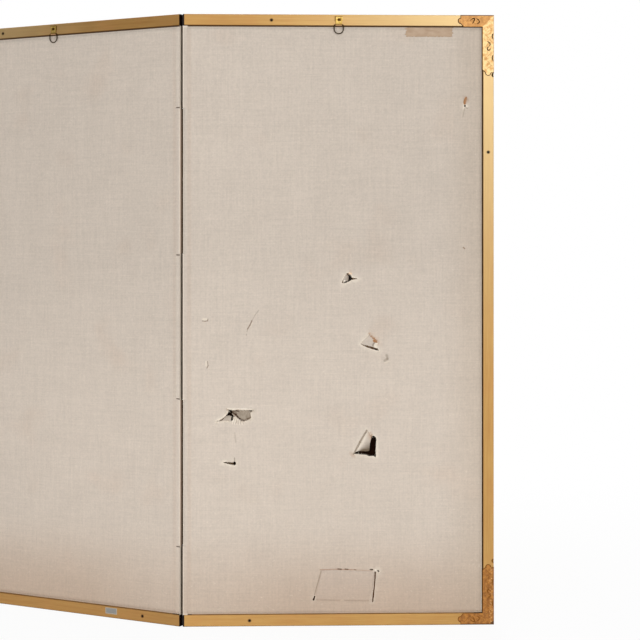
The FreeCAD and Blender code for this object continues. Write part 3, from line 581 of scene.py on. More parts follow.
def holed_sheet(low, high, spacing, holes, rings=(1.2, 3, 6)):
    """Points and triangles of a flat sheet from low to high, with these outlines left open."""
    across, up = (max(1, round((b - a) / spacing)) for a, b in zip(low, high))
    border = [(low[0] + (high[0] - low[0]) * i / across, low[1] + (high[1] - low[1]) * k / up)
              for i in range(across + 1) for k in range(up + 1)]
    flat = [p for p in border if not any(
        near_box(*p, h, 8) and (inside(*p, h) or distance_to(*p, h) < 4) for h in holes)]
    edges = []
    for hole in holes:
        first = len(flat)
        flat += hole
        edges += [(first + k, first + (k + 1) % len(hole)) for k in range(len(hole))]
        middle = Vector((sum(p[0] for p in hole), sum(p[1] for p in hole))) / len(hole)
        for ring in rings:
            every = 2 if ring < 4 else 4
            for p in hole[::every]:
                out = Vector(p) + (Vector(p) - middle).normalized() * ring
                if not any(near_box(*out, h, 3) and (inside(*out, h) or distance_to(*out, h) < 0.8) for h in holes):
                    flat.append(tuple(out))
    points, _, triangles, *_ = geometry.delaunay_2d_cdt([Vector(p) for p in flat], edges, [], 0, 1e-4)
    centres = [sum((points[i] for i in t), Vector((0, 0))) / 3 for t in triangles]
    kept = [t for t, c in zip(triangles, centres) if not any(near_box(*c, h, 0) and inside(*c, h) for h in holes)]
    return [tuple(p) for p in points], kept


CLOTH_LOW, CLOTH_HIGH = (0.8, 34.5), (832.5, 1665.5)
sheet_points, sheet_faces = holed_sheet(CLOTH_LOW, CLOTH_HIGH, 11, list(TORN.values()))
print(len(sheet_points), "points,", len(sheet_faces), "triangles")

# %% [markdown]
# The cloth is pasted down round its rim and lies a little slack over the bars, so it swells and sinks by a few
# tenths of a millimetre. Round a tear it has come loose and its lip stands up, more where the photograph shows a
# pale rim. Small blisters stand beside the fold.

# %% The lie of the cloth
LIPS = {"arrow": 1.1, "curled": 1.0, "ragged": 1.3, "large": 1.5, "slit": 1.0, "pinhole": 1.2,
        "patch_side": 0.9, "patch_foot": 0.5, "patch_nick": 1.0, "corner_nick": 1.2}
BURNS = (((519.5, 812), 3.5, 0.8), ((524, 805), 4, 0.85), ((532, 800), 4, 0.85), ((538, 793), 4.5, 0.9),
         ((542, 785), 4.5, 0.7), ((466, 984), 3, 0.35), ((521.5, 536), 2.4, 0.95), ((524.6, 530.6), 2.8, 0.9),
         ((787, 1466), 4, 0.6), ((123.6, 602), 3, 0.7), ((153, 602), 3, 0.75), ((473, 475), 3.5, 0.5))
# Painted shade in small dents of the cloth and at the corners of some tears.
DENT_SHADE = (((563, 738), 7, 0.22), ((568, 748), 5, 0.2), ((198, 599), 5, 0.3), ((541, 152), 3, 0.3),
         ((124, 603), 4, 0.25))
CURLS = (((467, 981), 5, 1.9), ((544, 775), 6, 2.6), ((152, 572), 7, 2.0), ((538, 500), 7, 1.2),
         ((63, 851), 6, 1.7), ((65, 729), 5, 1.6), ((541, 153), 5, 1.6), ((563, 742), 8, 1.2))
CLOTH_DEEP, CLOTH_THICK = 2.0, 0.5
RIM = 60


def rim_share(x, z):
    """0 on the pasted rim, 1 a hand's width away from it."""
    gap = min(x - CLOTH_LOW[0], CLOTH_HIGH[0] - x, z - CLOTH_LOW[1], CLOTH_HIGH[1] - z)
    return clamp(gap / RIM)


def humps(x, z, spots):
    """How strong each of these soft round spots (middle, size, strength) is at a place."""
    return [strength * math.exp(-(math.hypot(x - cx, z - cz) / size) ** 2) for (cx, cz), size, strength in spots]


def cloth_depth(x, z, torn=()):
    """How deep the cloth's outer face lies behind the frame's back face."""
    depth = CLOTH_DEEP + rim_share(x, z) * (0.28 * wobble(x, z, 190) + 0.16 * wobble(x, z, 60, 4.0))
    for name in torn:
        if near_box(x, z, TORN[name], 25):
            depth -= LIPS[name] * math.exp(-distance_to(x, z, TORN[name]) / 3.5)
    return depth - (sum(humps(x, z, CURLS)) if torn else 0)


def mark(piece, name, values):
    """Writes a number from 0 to 1 on each point, which a finish reads under that name."""
    layer = piece.data.attributes.new(name, "FLOAT", "POINT")
    layer.data.foreach_set("value", values)


def smooth(piece):
    for polygon in piece.data.polygons:
        polygon.use_smooth = True
    return piece


def fields(wide, tall):
    """The faces of a grid of wide by tall fields, whose points are listed row by row."""
    row = wide + 1
    return [(k * row + i, k * row + i + 1, (k + 1) * row + i + 1, (k + 1) * row + i)
            for k in range(tall) for i in range(wide)]


right_cloth = new_piece("worn_back_cloth", "right", [(x, cloth_depth(x, z, TORN), z) for x, z in sheet_points],
                        sheet_faces, CLOTH["right"])
mark(right_cloth, "pale", [
    max([0.0] + [(0.35 if n.startswith("patch") else 1) * math.exp(-distance_to(x, z, TORN[n]) / 2.8)
                 for n in TORN if near_box(x, z, TORN[n], 12)])
    for x, z in sheet_points])
mark(right_cloth, "scorched", [max(humps(x, z, BURNS)) for x, z in sheet_points])
mark(right_cloth, "shaded", [max(humps(x, z, DENT_SHADE)) for x, z in sheet_points])
across, up = 64, 126
(x0, z0), (x1, z1) = CLOTH_LOW, CLOTH_HIGH
grid = [(x0 + (x1 - x0) * i / across, z0 + (z1 - z0) * k / up) for k in range(up + 1) for i in range(across + 1)]
left_cloth = new_piece("sound_back_cloth", "left", [(x, cloth_depth(x, z), z) for x, z in grid],
                       fields(across, up), CLOTH["left"])
for cloth, side in ((right_cloth, "right"), (left_cloth, "left")):
    settle(thicken(smooth(cloth), CLOTH_THICK), side, "hemp_cloth", f"back_cloth_{side}")
print("cloth on both backs")

# %% [markdown]
# ## Behind the tears
# Through the tears one sees layers of greyish paper that have torn too, and behind them the dark hollow between the
# bars. The paper gets its own holes, larger where the photograph is black and smaller where grey paper shows.

# %% The paper under the cloth
PAPER_HOLES = (
    ((448, 958), (455, 974), (461, 976), (466, 974), (469.6, 968), (471.5, 964.5), (466, 960), (455, 954),
     (448, 952.5)),
    ((119, 586), (124, 592), (127, 602), (136, 602), (137.5, 596), (136.5, 590.5), (140, 586), (142, 581),
     (138.6, 572), (134.6, 567), (132.6, 575), (136, 583.5), (130, 585.5), (124, 584.5)),
    ((183, 599.8), (198, 600.8), (199, 597.4), (184, 596.4)),
    ((510, 545), (474, 475), (500, 473), (530, 469), (538, 466), (539, 500), (541, 518), (538, 527), (531, 531),
     (522, 534)),
    ((141, 456.6), (144.4, 458.6), (148, 455), (147.6, 450.4), (144, 447.6), (140.6, 450)),
)

SHADES = (
    (((136, 594), (141, 598), (148, 599.5), (155, 597)), 3.2, 0.85, (74, 52, 36)),
    (((140, 592.5), (147, 588), (153, 580), (158, 575.5), (165, 571.5), (172, 570.5)), 4.2, 0.85, (70, 48, 34)),
    (((144, 596), (151, 590)), 2.4, 0.5, (96, 78, 62)),
    (((172, 570.5), (180, 576), (190, 580)), 4.0, 0.6, (104, 84, 66)),
    (((92, 567), (104, 572), (112, 577), (120, 585)), 3.4, 0.85, (88, 64, 44)),
    (((452, 974), (462, 981)), 4.5, 0.9, (96, 70, 44)),
    (((469, 966), (490, 965)), 6.0, 1.0, (104, 84, 62)),
    (((442, 953), (447, 958)), 3.6, 0.9, (96, 72, 48)),
    (((109, 456), (125, 454), (140, 452.5)), 5.0, 0.95, (70, 50, 28)),
    (((536, 152), (534.5, 130), (532, 105), (529.5, 80), (527, 64)), 8.0, 1.0, (94, 64, 42)),
    (((366, 84), (361, 68)), 14.0, 1.0, (60, 38, 22)),
    (((519, 155), (531, 155)), 14.0, 1.0, (66, 40, 24)),
    (((540, 154), (547, 150)), 12.0, 1.0, (50, 28, 16)),
    (((785.5, 1449), (785.5, 1445)), 14.0, 1.0, (34, 16, 7)),
    (((492, 784), (508, 777)), 9.0, 0.9, (134, 112, 90)),
    (((510, 776), (526, 771), (545, 764)), 9.0, 0.95, (88, 64, 42)),
    (((532, 769), (543, 765)), 3.6, 0.9, (52, 34, 20)),
)


def underpaper():
    f = Finish("underpaper")
    fibre = f.noise(0.004, (1, 1, 3), 3.0)
    colour = f.mix(f.rise(fibre, 0.3, 0.7), dye(158, 144, 128), dye(177, 163, 146))
    smudge = f.rise(f.noise(0.012, detail=2.0, seed=5.0), 0.5, 0.75)
    colour = f.mix(smudge * 0.5, colour, dye(130, 116, 98))
    return f.cover(stroked(f, colour, strokes(SHADES)), 0.95, fibre, 0.0002, shine=0.1)


UNDERPAPER = underpaper()
UNDERPAPER_DEEP, UNDERPAPER_THICK = 2.75, 0.4
broken_rims = [stepped(outline, 3, 0.3, 40 + n) for n, outline in enumerate(PAPER_HOLES)]
paper_points, paper_faces = holed_sheet(CLOTH_LOW, CLOTH_HIGH, 40, broken_rims, (3,))
torn_paper = new_piece("torn_underpaper", "right", [(x, UNDERPAPER_DEEP, z) for x, z in paper_points], paper_faces,
                       UNDERPAPER)
settle(thicken(torn_paper, UNDERPAPER_THICK), "right", "mulberry_paper", "back_underpaper_right")
print("paper with", len(PAPER_HOLES), "holes")

# %% [markdown]
# ## Flaps
# A flap is a torn tongue of cloth that is still held along one side. It is a small surface between three lines:
# where it is held, its middle and its free end. A quadratic curve through the three gives it its bend, inwards
# where the photograph shows it in shade and outwards where it curls up pale.

# %% Tongues of cloth
def along(line, share):
    """A place on a line of points, by its share of the way."""
    spot = share * (len(line) - 1)
    first = min(int(spot), len(line) - 2)
    return Vector(line[first]).lerp(Vector(line[first + 1]), spot - first)


TONGUE_THICK = 0.45


def flap(name, held, middle, free, marks, rows=18, steps=12):
    """A tongue whose marks are functions of the share along it and of the share from its root to its edge."""
    points, values = [], {key: [] for key in marks}
    for r in range(rows + 1):
        a, b, c = (along(line, r / rows) for line in (held, middle, free))
        fringe = 0.5 * wobble(37 * r, 11, 30, len(name))
        for s in range(steps + 1):
            t = s / steps
            p = a * (1 - t) ** 2 + 2 * b * t * (1 - t) + c * t * t
            sag = 0.9 * wobble(p.x, 5, 5, len(name)) * max(0, 1 - 4 * r / rows)
            points.append((p.x + fringe * t, p.y, p.z + sag * t))
            for key, mark_of in marks.items():
                values[key].append(mark_of(r / rows, t))
    tongue = smooth(new_piece(name, "right", points, fields(steps, rows), CLOTH["right"]))
    for key, numbers in values.items():
        mark(tongue, key, numbers)
    settle(thicken(tongue, TONGUE_THICK), "right", "hemp_cloth")


flap("large_tongue",
     [(479.6, 2.5, 482.6), (490, 2.4, 500), (503, 2.3, 525), (514, 2.2, 543)],
     [(491, 2.6, 487), (502, 1.5, 500), (512, 1.4, 518), (518, 2.4, 538)],
     [(506, 3.0, 484.4), (518.5, 3.4, 485.4), (520.5, 3.6, 508), (526, 2.8, 526.5)],
     {"pale": lambda r, t: 0.95 * math.exp(-t * 5) + 0.2 * r,
      "shaded": lambda r, t: clamp(3.0 * (t - 0.2) * (1 - r) ** 1.6),
      "scorched": lambda r, t: 0.9 * max(0, r - 0.7) * 3.3 * t})
flap("arrow_tongue",
     [(445.5, 2.4, 954), (445, 2.4, 962), (449, 2.3, 971), (454.6, 2.3, 982)],
     [(452, 2.2, 957), (452, 2.0, 963), (454, 2.1, 971), (456.4, 2.6, 978)],
     [(460, 4.2, 960.5), (461.4, 4.6, 968), (460.6, 4.4, 973), (457.6, 3.6, 976.5)],
     {"shaded": lambda r, t: 0.06 + 0.62 * t ** 1.4, "pale": lambda r, t: 0.8 * max(0, 0.25 - r) * 4 * (1 - t)})
flap("arrow_curl",
     [(458, 2.0, 983), (463, 1.9, 981), (468, 1.9, 977)],
     [(461, 0.6, 984.5), (466, 0.5, 983), (471, 0.6, 979)],
     [(461, 0.8, 979.5), (465, 0.8, 977), (468, 1.0, 973.5)],
     {"pale": lambda r, t: 0.45 + 0.4 * t}, 8, 8)
print("a large tongue and two pieces of the arrow-shaped tear")

# %% The curled tongue
def edge_gap(r, t):
    """Millimetres from a place on the curled tongue to its free edge."""
    return (1 - t) * (48 - 42 * r)


def curl_width(r):
    """Width of the pale curl, which is a crescent near the foot of that edge."""
    return 7.5 * max(0.0, 1 - ((r - 0.12) / 0.32) ** 2) ** 0.5


def burnt_edge(r, t):
    """Brown near the free edge, where the pale curl leaves it open."""
    return clamp(4.4 + 1.2 * wobble(60 * r, 3, 5) - 0.75 * edge_gap(r, t)) * (curl_width(r) < 1.5)


def shade_of_curl(r, t):
    beside = 1 - abs(edge_gap(r, t) - curl_width(r) - 2.2) / 2.4
    return 0.08 + 0.75 * clamp(beside) * (0.03 < r < 0.46)


def pale_curl(r, t):
    return clamp(0.8 * (curl_width(r) - edge_gap(r, t)) + 0.6) * (curl_width(r) > 0)


flap("curled_tongue",
     [(492, 2.3, 783), (501, 2.2, 792), (510, 2.2, 801), (519.5, 2.2, 811.5)],
     [(510, 1.4, 781), (514, 1.0, 788), (519, 1.1, 797), (522, 1.6, 806)],
     [(540, 1.1, 771), (543.5, 0.7, 783), (537, 0.7, 795), (525, 1.2, 807.5)],
     {"scorched": burnt_edge, "shaded": shade_of_curl, "pale": pale_curl}, 34, 30)
print("a tongue with a curled edge")

# %% Two small tongues
flap("ragged_tongue",
     [(107, 2.4, 570), (117, 2.5, 571), (126, 2.5, 570.5), (134, 2.4, 568.5)],
     [(112, 2.4, 574), (119, 2.2, 577), (126, 2.2, 577), (134, 2.4, 575)],
     [(115, 3.0, 578.5), (121, 3.0, 585), (128, 3.0, 585.5), (135, 3.0, 583)],
     {"shaded": lambda r, t: 0.15 + 0.45 * t * (0.4 + 0.6 * math.sin(3.1 * r) ** 2)})
flap("brown_tongue",
     [(786, 1.9, 1470), (787.5, 1.8, 1472.5), (789.5, 1.8, 1473), (791, 1.9, 1471)],
     [(779.5, 0.7, 1461), (783, 0.1, 1463), (787.5, 0.1, 1464), (791.5, 0.7, 1462.5)],
     [(781.5, 1.2, 1451.5), (784, 0.8, 1450), (787, 0.8, 1451), (790, 1.2, 1453.5)],
     {"scorched": lambda r, t: 1.0 - 0.8 * max(0, r - 0.5) * 2 * t, "shaded": lambda r, t: 0.65 * (1 - t) ** 2,
      "pale": lambda r, t: 0.9 * max(0, r - 0.55) * 2.3 * t})
print("six tongues in all")

# %% [markdown]
# ## Loose threads
# Broken threads stand out round a tear. They repeat along a path, so Geometry Nodes make them: the outlines are
# resampled into points, each point gets a short bent thread with a random turn and length, and the result is made
# real and given its material.

# %% A tree for what stands along a line
class GeometrySheet(NodeSheet):
    """A Geometry Nodes tree with named inputs."""

    def __init__(self, name, **sizes):
        super().__init__(bpy.data.node_groups.new(name, "GeometryNodeTree"))
        ports = self.tree.interface
        ports.new_socket("Geometry", in_out="INPUT", socket_type="NodeSocketGeometry")
        ports.new_socket("Geometry", in_out="OUTPUT", socket_type="NodeSocketGeometry")
        for label, start in sizes.items():
            kind = "NodeSocketInt" if isinstance(start, int) else "NodeSocketFloat"
            ports.new_socket(label, in_out="INPUT", socket_type=kind).default_value = start
        self.given = self.node("NodeGroupInput")

    def size(self, label):
        return self.given.output(label)

    def close(self, shape, material):
        real = self.node("GeometryNodeRealizeInstances", {}, {"Geometry": shape})
        done = self.node("GeometryNodeSetMaterial", {}, {"Geometry": real, "Material": material})
        self.node("NodeGroupOutput", {}, {0: done})
        return self.tree


def grown(name, base, tree, **sizes):
    """The plain mesh that a tree makes of a base piece, which is then removed."""
    grower = base.modifiers.new("grow", "NODES")
    grower.node_group = tree
    for item in tree.interface.items_tree:
        if item.in_out == "INPUT" and item.name in sizes:
            grower[item.identifier] = sizes[item.name]
    bpy.context.view_layer.update()
    made = bpy.data.meshes.new_from_object(base.evaluated_get(bpy.context.evaluated_depsgraph_get()))
    piece = put(name, made)
    bpy.data.objects.remove(base)
    made.name = name
    return piece


def thread_finish():
    f = Finish("loose_thread")
    return f.cover(f.mix(f.noise(0.006), dye(236, 224, 206), dye(196, 180, 160)), 0.9)


THREAD_RADIUS_SHARE = 0.042
threads = GeometrySheet("threads_along_an_outline", spacing=0.0016, longest=0.006, least_turn=0.0,
                        most_turn=2 * math.pi, seed=4)
path = threads.node("GeometryNodeMeshToCurve", {}, {"Mesh": threads.given})
spots = threads.node("GeometryNodeCurveToPoints", {"mode": "LENGTH"}, {
    "Curve": path, "Length": threads.size("spacing")})
bent = threads.node("GeometryNodeCurveQuadraticBezier", {}, {
    "Resolution": 5, "Start": (0, 0, 0), "Middle": (0.5, -0.16, 0.05), "End": (1, -0.05, 0.3)})
round_ = threads.node("GeometryNodeCurvePrimitiveCircle", {}, {"Resolution": 4, "Radius": 1.0})
turns = threads.node("FunctionNodeRandomValue", {"data_type": "FLOAT_VECTOR"}, {
    "Min": threads.node("ShaderNodeCombineXYZ", {}, {"X": -0.3, "Y": threads.size("least_turn"), "Z": -0.4}),
    "Max": threads.node("ShaderNodeCombineXYZ", {}, {"X": 0.3, "Y": threads.size("most_turn"), "Z": 0.4}),
    "Seed": threads.size("seed")})
lengths = threads.node("FunctionNodeRandomValue", {"data_type": "FLOAT"}, {
    "Min": 0.15, "Max": 1.0, "Seed": threads.size("seed") + 1})
thin_round = threads.node("GeometryNodeTransform", {}, {"Geometry": round_, "Scale": [THREAD_RADIUS_SHARE] * 3})
slim = threads.node("GeometryNodeCurveToMesh", {}, {"Curve": bent, "Fill Caps": True, "Profile Curve": thin_round})
standing = threads.node("GeometryNodeInstanceOnPoints", {}, {
    "Points": spots, "Instance": slim, "Rotation": turns, "Scale": lengths * threads.size("longest")})
threads.close(standing, thread_finish())


def thread_row(name, runs, closed, **sizes):
    """Threads on runs of places (x, y, z) on the torn back, as one piece."""
    points, edges = [], []
    for run in runs:
        first, count = len(points), len(run)
        points += run
        edges += [(first + k, first + (k + 1) % count) for k in range(count if closed else count - 1)]
    wire = new_piece("thread_line", "right", points, [], edges=edges)
    return settle(grown(name, wire, threads.tree, **sizes), "right", "hemp_cloth")


FRAYED_TEARS = ("arrow", "curled", "ragged", "ragged", "large", "slit", "corner_nick", "patch_nick")
HANGING = stepped(((140, 581), (146.6, 583.5), (153.5, 577.5), (159, 572)), seed=90)[:18]
SILL = stepped(((484, 477), (492.5, 476), (500.3, 475.2), (511, 474.2), (516, 471.4)), seed=91)[:15]
fuzz = thread_row("loose_threads", [[(x, cloth_depth(x, z, TORN) + 0.2, z) for x, z in TORN[name]]
                                    for name in FRAYED_TEARS], True, spacing=0.0019, longest=0.0062, seed=11)
fringe = thread_row("hanging_threads", [[(x, 1.3, z) for x, z in HANGING]], False,
                    spacing=0.0011, longest=0.013, least_turn=1.0, most_turn=2.2, seed=5)
thread_row("teeth_of_thread", [[(x, 2.2, z) for x, z in SILL]], False,
           spacing=0.0016, longest=0.0058, least_turn=-2.3, most_turn=-0.9, seed=8)
print("loose threads:", len(fuzz.data.polygons) + len(fringe.data.polygons), "faces")

# %% [markdown]
# ## The patch, the tape and the label
# Three things were stuck on in the screen's long use. The patch is a square of the same cloth set into a cut, a
# little greyer and raised at its right side. The tape is brown and brittle, with level ridges and a torn end. The
# label on the left bottom rail is blank, silvery paper with a paler margin.

# %% The patch
def quad_sheet(name, side, corners, depth_at, material, counts):
    """A sheet between four corners, given bottom left, bottom right, top right and top left."""
    (ax, az), (bx, bz), (cx, cz), (dx, dz) = corners
    wide, tall = counts
    points, shares = [], []
    for k in range(tall + 1):
        for i in range(wide + 1):
            u, v = i / wide, k / tall
            x = (ax * (1 - u) + bx * u) * (1 - v) + (dx * (1 - u) + cx * u) * v
            z = (az * (1 - u) + bz * u) * (1 - v) + (dz * (1 - u) + cz * u) * v
            points.append((x, depth_at(u, v, x, z), z))
            shares.append((u, v))
    return smooth(new_piece(name, side, points, fields(wide, tall), material)), shares


PATCH_THICK, TAPE_THICK, LABEL_THICK = 0.3, 0.12, 0.15


def patch_depth(u, v, x, z):
    """The patch lies on the cloth, lowest at its foot, and stands up along its right side."""
    raised = 0.35 * min(1, 0.2 + 4 * v) + 0.5 * max(0, u - 0.9) * 10 * (0.4 + 0.6 * v)
    return cloth_depth(x, z) - raised - 0.12 * wobble(x, z, 24, 9)


patch, patch_shares = quad_sheet("inset_patch", "right", ((366, 71), (526.5, 67.5), (532, 150.5), (386, 154.4)),
                           patch_depth, worn_cloth("right", "patch_cloth", (212, 199, 187)), (30, 18))
mark(patch, "shaded", [0.05] * len(patch_shares))
settle(thicken(patch, PATCH_THICK), "right", "hemp_cloth", "repair_patch")
print("patch set in")

# %% The tape and the label
def old_tape():
    f = Finish("old_tape")
    ridges = f.noise(0.004, (7, 1, 1), 2.0)
    blotch = f.noise(0.02, (1.6, 1, 1), 3.0, 9.0)
    colour = f.mix(f.rise(blotch, 0.3, 0.7), dye(172, 144, 116), dye(186, 160, 134))
    colour = f.mix(f.rise(ridges, 0.5, 0.8) * 0.5, colour, dye(160, 130, 102))
    return f.cover(colour, 0.6, ridges, 0.0003)


def label_paper():
    f = Finish("label_paper", "left")
    inner = f.rise(f.x, 0.2125, 0.2145) * f.rise(f.x, 0.2490, 0.2470)
    inner = inner * f.rise(f.z, 0.0125, 0.0140) * f.rise(f.z, 0.0270, 0.0255)
    fleck = f.noise(0.003, detail=3.0)
    colour = f.mix(inner, dye(184, 175, 160), f.mix(fleck, dye(130, 130, 127), dye(156, 154, 148)))
    return f.cover(colour, 0.55, fleck, 0.0001)


tape, tape_shares = quad_sheet("strip_of_tape", "right", ((621, 1640.6), (750, 1640.6), (751, 1665.2), (620, 1665.2)),
                               lambda u, v, x, z: 1.8 - 0.1 * wobble(x / 3, z, 6, 2.0), old_tape(), (60, 14))
TORN_OFF, RAGGED_FOOT = 4.5, 1.1
for vertex, (u, v) in zip(tape.data.vertices, tape_shares):
    end_share = max(0, abs(u - 0.5) * 2 - 0.94) / 0.06
    vertex.co.x += MM * (1 if u > 0.5 else -1) * end_share * TORN_OFF * wobble(0, 27 * v, 4.2, u)
    vertex.co.z -= MM * max(0, 1 - 4 * v) * RAGGED_FOOT * (1 + wobble(130 * u, 0, 5, 3.0))
settle(thicken(tape, TAPE_THICK), "right", "old_tape", "tape_strip")
label, _ = quad_sheet("blank_label", "left", ((211.3, 10.8), (250.8, 10.5), (251, 28.3), (211, 28.5)),
                      lambda u, v, x, z: -0.18 - 0.5 * max(0, u + v - 1.8), label_paper(), (16, 8))
settle(thicken(label, LABEL_THICK), "left", "label_paper", "paper_label")
print("tape and label stuck on")

# %% [markdown]
# ## Gold lacquer
# The frame is wood under a satin lacquer that holds gold powder. It shines softly, with fine streaks along the wood,
# and a painted highlight makes it paler towards the lamp. Its ends at the fold are black, and dark specks show where
# it has worn through. Painted shade darkens it by the fold, on its sides, along its inner edge and foot, in its bores
# and round its nail holes. The rails and the stiles need streaks in different directions.

# %% The finish of the frame
NAIL_HOLES = {"right": ((246, 1684), (185.1, 16), (850.5, 1318)), "left": ((620, 1684), (124, 16), (850.5, 1318))}
NAIL_STROKE = 6.6
HALF_HEIGHT, RAIL_MIDDLE, STILE_MIDDLE = 0.85, 0.834, 0.8505


def gold_lacquer(side, run):
    """Lacquer streaked along a rail or a stile, with black rail ends at the fold and bores painted black as shade."""
    f = Finish(f"gold_lacquer_{run}", side)
    draw = (60, 1, 1) if run == "rail" else (1, 1, 60)
    streaks = f.noise(0.0014, draw, 3.0, 2.0)
    bands = f.noise(0.006, tuple(min(v, 40) for v in draw), 2.0, 8.0)
    clouds = f.noise(0.07, detail=3.0, seed=6.0)
    # Painted shade: the left panel's lacquer is darker than the right's, as it turns away from the lamp.
    deep, bright = ((188, 141, 79), (204, 161, 95)) if side == "right" else ((174, 128, 71), (188, 145, 84))
    colour = f.mix(f.rise(streaks * 0.6 + bands * 0.4, 0.32, 0.68), dye(*deep), dye(*bright))
    colour = f.mix(f.rise(clouds, 0.42, 0.72) * 0.4, colour, dye(192, 138, 82))
    # Painted highlight: the lacquer is paler towards each panel's upper outer corner, where the lamp shines.
    painted_lamp_highlight = f.rise(f.x, 0.15, 0.80) * f.rise(f.z, 0.60, 1.50) * 0.56
    colour = f.mix(painted_lamp_highlight, colour, dye(214, 192, 144))
    # Painted shade: darker near the fold, high on the right panel and at the foot of the left one.
    painted_shade_by_fold = f.rise(f.x, 0.42, 0.05) * (f.rise(f.z, 0.9, 1.6) if side == "right" else f.rise(f.z, 0.5, 0.05) * 0.4)
    colour = f.mix(painted_shade_by_fold * 0.3, colour, dye(138, 98, 50))
    # Painted shade on the frame's narrow sides, between its back and front faces.
    painted_shade_on_sides = f.rise(f.y, 0.0012, 0.0022) * f.rise(f.y, 0.0158, 0.0148) * 0.45
    colour = f.mix(painted_shade_on_sides, colour, dye(120, 84, 44))
    worn_and_foot_shade = f.rise(f.noise(0.0035, (1, 1, 1), 3.0, 12.0), 0.70, 0.74) * f.rise(f.noise(0.05, seed=14.0), 0.5, 0.62)
    # Painted shade along the foot edge, at an uneven height, joins the worn specks.
    painted_edge_shade = 0.0022 * f.noise(0.02, detail=3.0, seed=27.0)
    worn_and_foot_shade = worn_and_foot_shade.greater(f.rise(f.z, painted_edge_shade + 0.0009, painted_edge_shade + 0.0001))
    colour = f.mix(worn_and_foot_shade * 0.8, colour, dye(96, 66, 36))
    if run == "rail":
        apart = ((f.z - HALF_HEIGHT) * (f.z - HALF_HEIGHT)) ** 0.5
        off_middle, painted_groove_shade = (apart - RAIL_MIDDLE) ** 2, f.rise(apart, 0.8208, 0.8194) * f.rise(f.z, 0.2, 1.2)
        end = f.rise(f.x, 0.0050, 0.0038) if side == "right" else f.rise(f.x, 0.0014, 0.0008)
    else:
        off_middle, painted_groove_shade, end = (f.x - STILE_MIDDLE) ** 2, f.rise(f.x, 0.8378, 0.8364), 0.0
    # Painted shade along the inner edge, where the groove to the cloth lies.
    colour = f.mix(painted_groove_shade * 0.9, colour, dye(76, 46, 18))
    # Painted shade in and round the nail holes.
    holes = 0.0
    for x, z in NAIL_HOLES[side]:
        holes = f.stroke((x, z), (x + 0.3, z), NAIL_STROKE).greater(holes)
    colour = f.mix(holes, colour, dye(30, 12, 3))
    # Painted shade makes the walls of the bores black. The rails' ends at the fold are black.
    bores = f.rise(off_middle, 0.000064, 0.00006) * f.rise(f.y, 0.0003, 0.0007) * f.rise(f.y, 0.0166, 0.0162)
    black = bores.greater(end)
    colour = f.mix(black, colour, dye(26, 10, 3))
    bare = 1 - worn_and_foot_shade.greater(black).greater(holes).greater(painted_groove_shade)
    roughness = 0.35 + 0.12 * (clouds - 0.5) + 0.10 * (streaks - 0.5)
    return f.cover(colour, roughness, streaks, 0.00006, bare * 0.42, bare * 0.1, 0.15)


def dress(name, material):
    """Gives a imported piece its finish."""
    slots = nodes[name].data.materials
    slots.clear()
    slots.append(material)


for side in SIDES:
    rail, stile = gold_lacquer(side, "rail"), gold_lacquer(side, "stile")
    dress(f"top_rail_{side}", rail)
    dress(f"bottom_rail_{side}", rail)
    dress(f"outer_stile_{side}", stile)
print("frame lacquered")

# %% [markdown]
# ## Wood, paper and iron that show in the gaps
# Between the frame and the cloth a narrow strip of the core shows dark brown, and its bottom rail is a paler copy,
# painted light in the shaded groove. The bars and the back of the front paper only show through the tears, and there
# they are painted almost black as the shade of the hollow. Nails sit deep in their open holes.

# %% The dark parts
def stained_wood(side, name, light, dark, draw, turned_edge=False):
    f = Finish(name, side)
    grain = f.noise(0.0022, draw, 4.0)
    colour = f.mix(f.rise(grain, 0.3, 0.7), dye(*dark), dye(*light))
    if turned_edge:
        # Painted light: the cloth turned round the edge is paler than the back cloth, as it lies in the fold's shade.
        wrapped = f.rise(f.x, 0.0016, 0.0010) * f.rise(f.y + 0.002 * (grain - 0.5), 0.0104, 0.0094)
        colour = f.mix(wrapped, colour, dye(238, 224, 204))
    return f.cover(colour, 0.9, grain, 0.0003, shine=0.0)


def dull(name, light, dark, roughness=0.9, metallic=0.0, size=0.003):
    f = Finish(name)
    blotch = f.noise(size, detail=3.0)
    colour = f.mix(f.rise(blotch, 0.35, 0.65), dye(*dark), dye(*light))
    return f.cover(colour, roughness, blotch, 0.0001, metallic, shine=0.0)


# Painted shade: the back of the front paper is almost black, as the hollow behind the tears is dark.
hollow_shade_paper = dull("soot_dark_paper", (36, 20, 12), (20, 10, 6))
iron = dull("old_iron", (34, 20, 12), (14, 8, 5), 0.8, 0.2, 0.001)
for side in SIDES:
    upright = stained_wood(side, "stained_upright", (98, 70, 42), (62, 42, 24), (1, 1, 30))
    hinge_edge = stained_wood(side, "papered_edge", (84, 60, 36), (50, 34, 20), (1, 1, 30), True)
    lying = stained_wood(side, "stained_rail", (128, 96, 62), (92, 66, 40), (30, 1, 1))
    # Painted light: the bottom core rail is a paler copy of the stained rail, so its strip in the shaded groove looks
    # lit.
    low = stained_wood(side, "worn_rail", (206, 166, 118), (168, 130, 86), (30, 1, 1))
    # Painted shade: the bars are a near black copy of the wood, as they stand in the hollow.
    bars = stained_wood(side, "old_cedar", (44, 27, 17), (24, 14, 9), (12, 1, 12))
    for name, finish in (("core_hinge_stile", hinge_edge), ("core_outer_stile", upright), ("core_top_rail", lying),
                         ("core_bottom_rail", low), ("lattice_uprights", bars), ("lattice_crossbars", bars),
                         ("front_underpaper", hollow_shade_paper), ("frame_nails", iron), ("hidden_nails", iron)):
        dress(f"{name}_{side}", finish)
dress("back_underpaper_left", UNDERPAPER)
print("dark parts done")
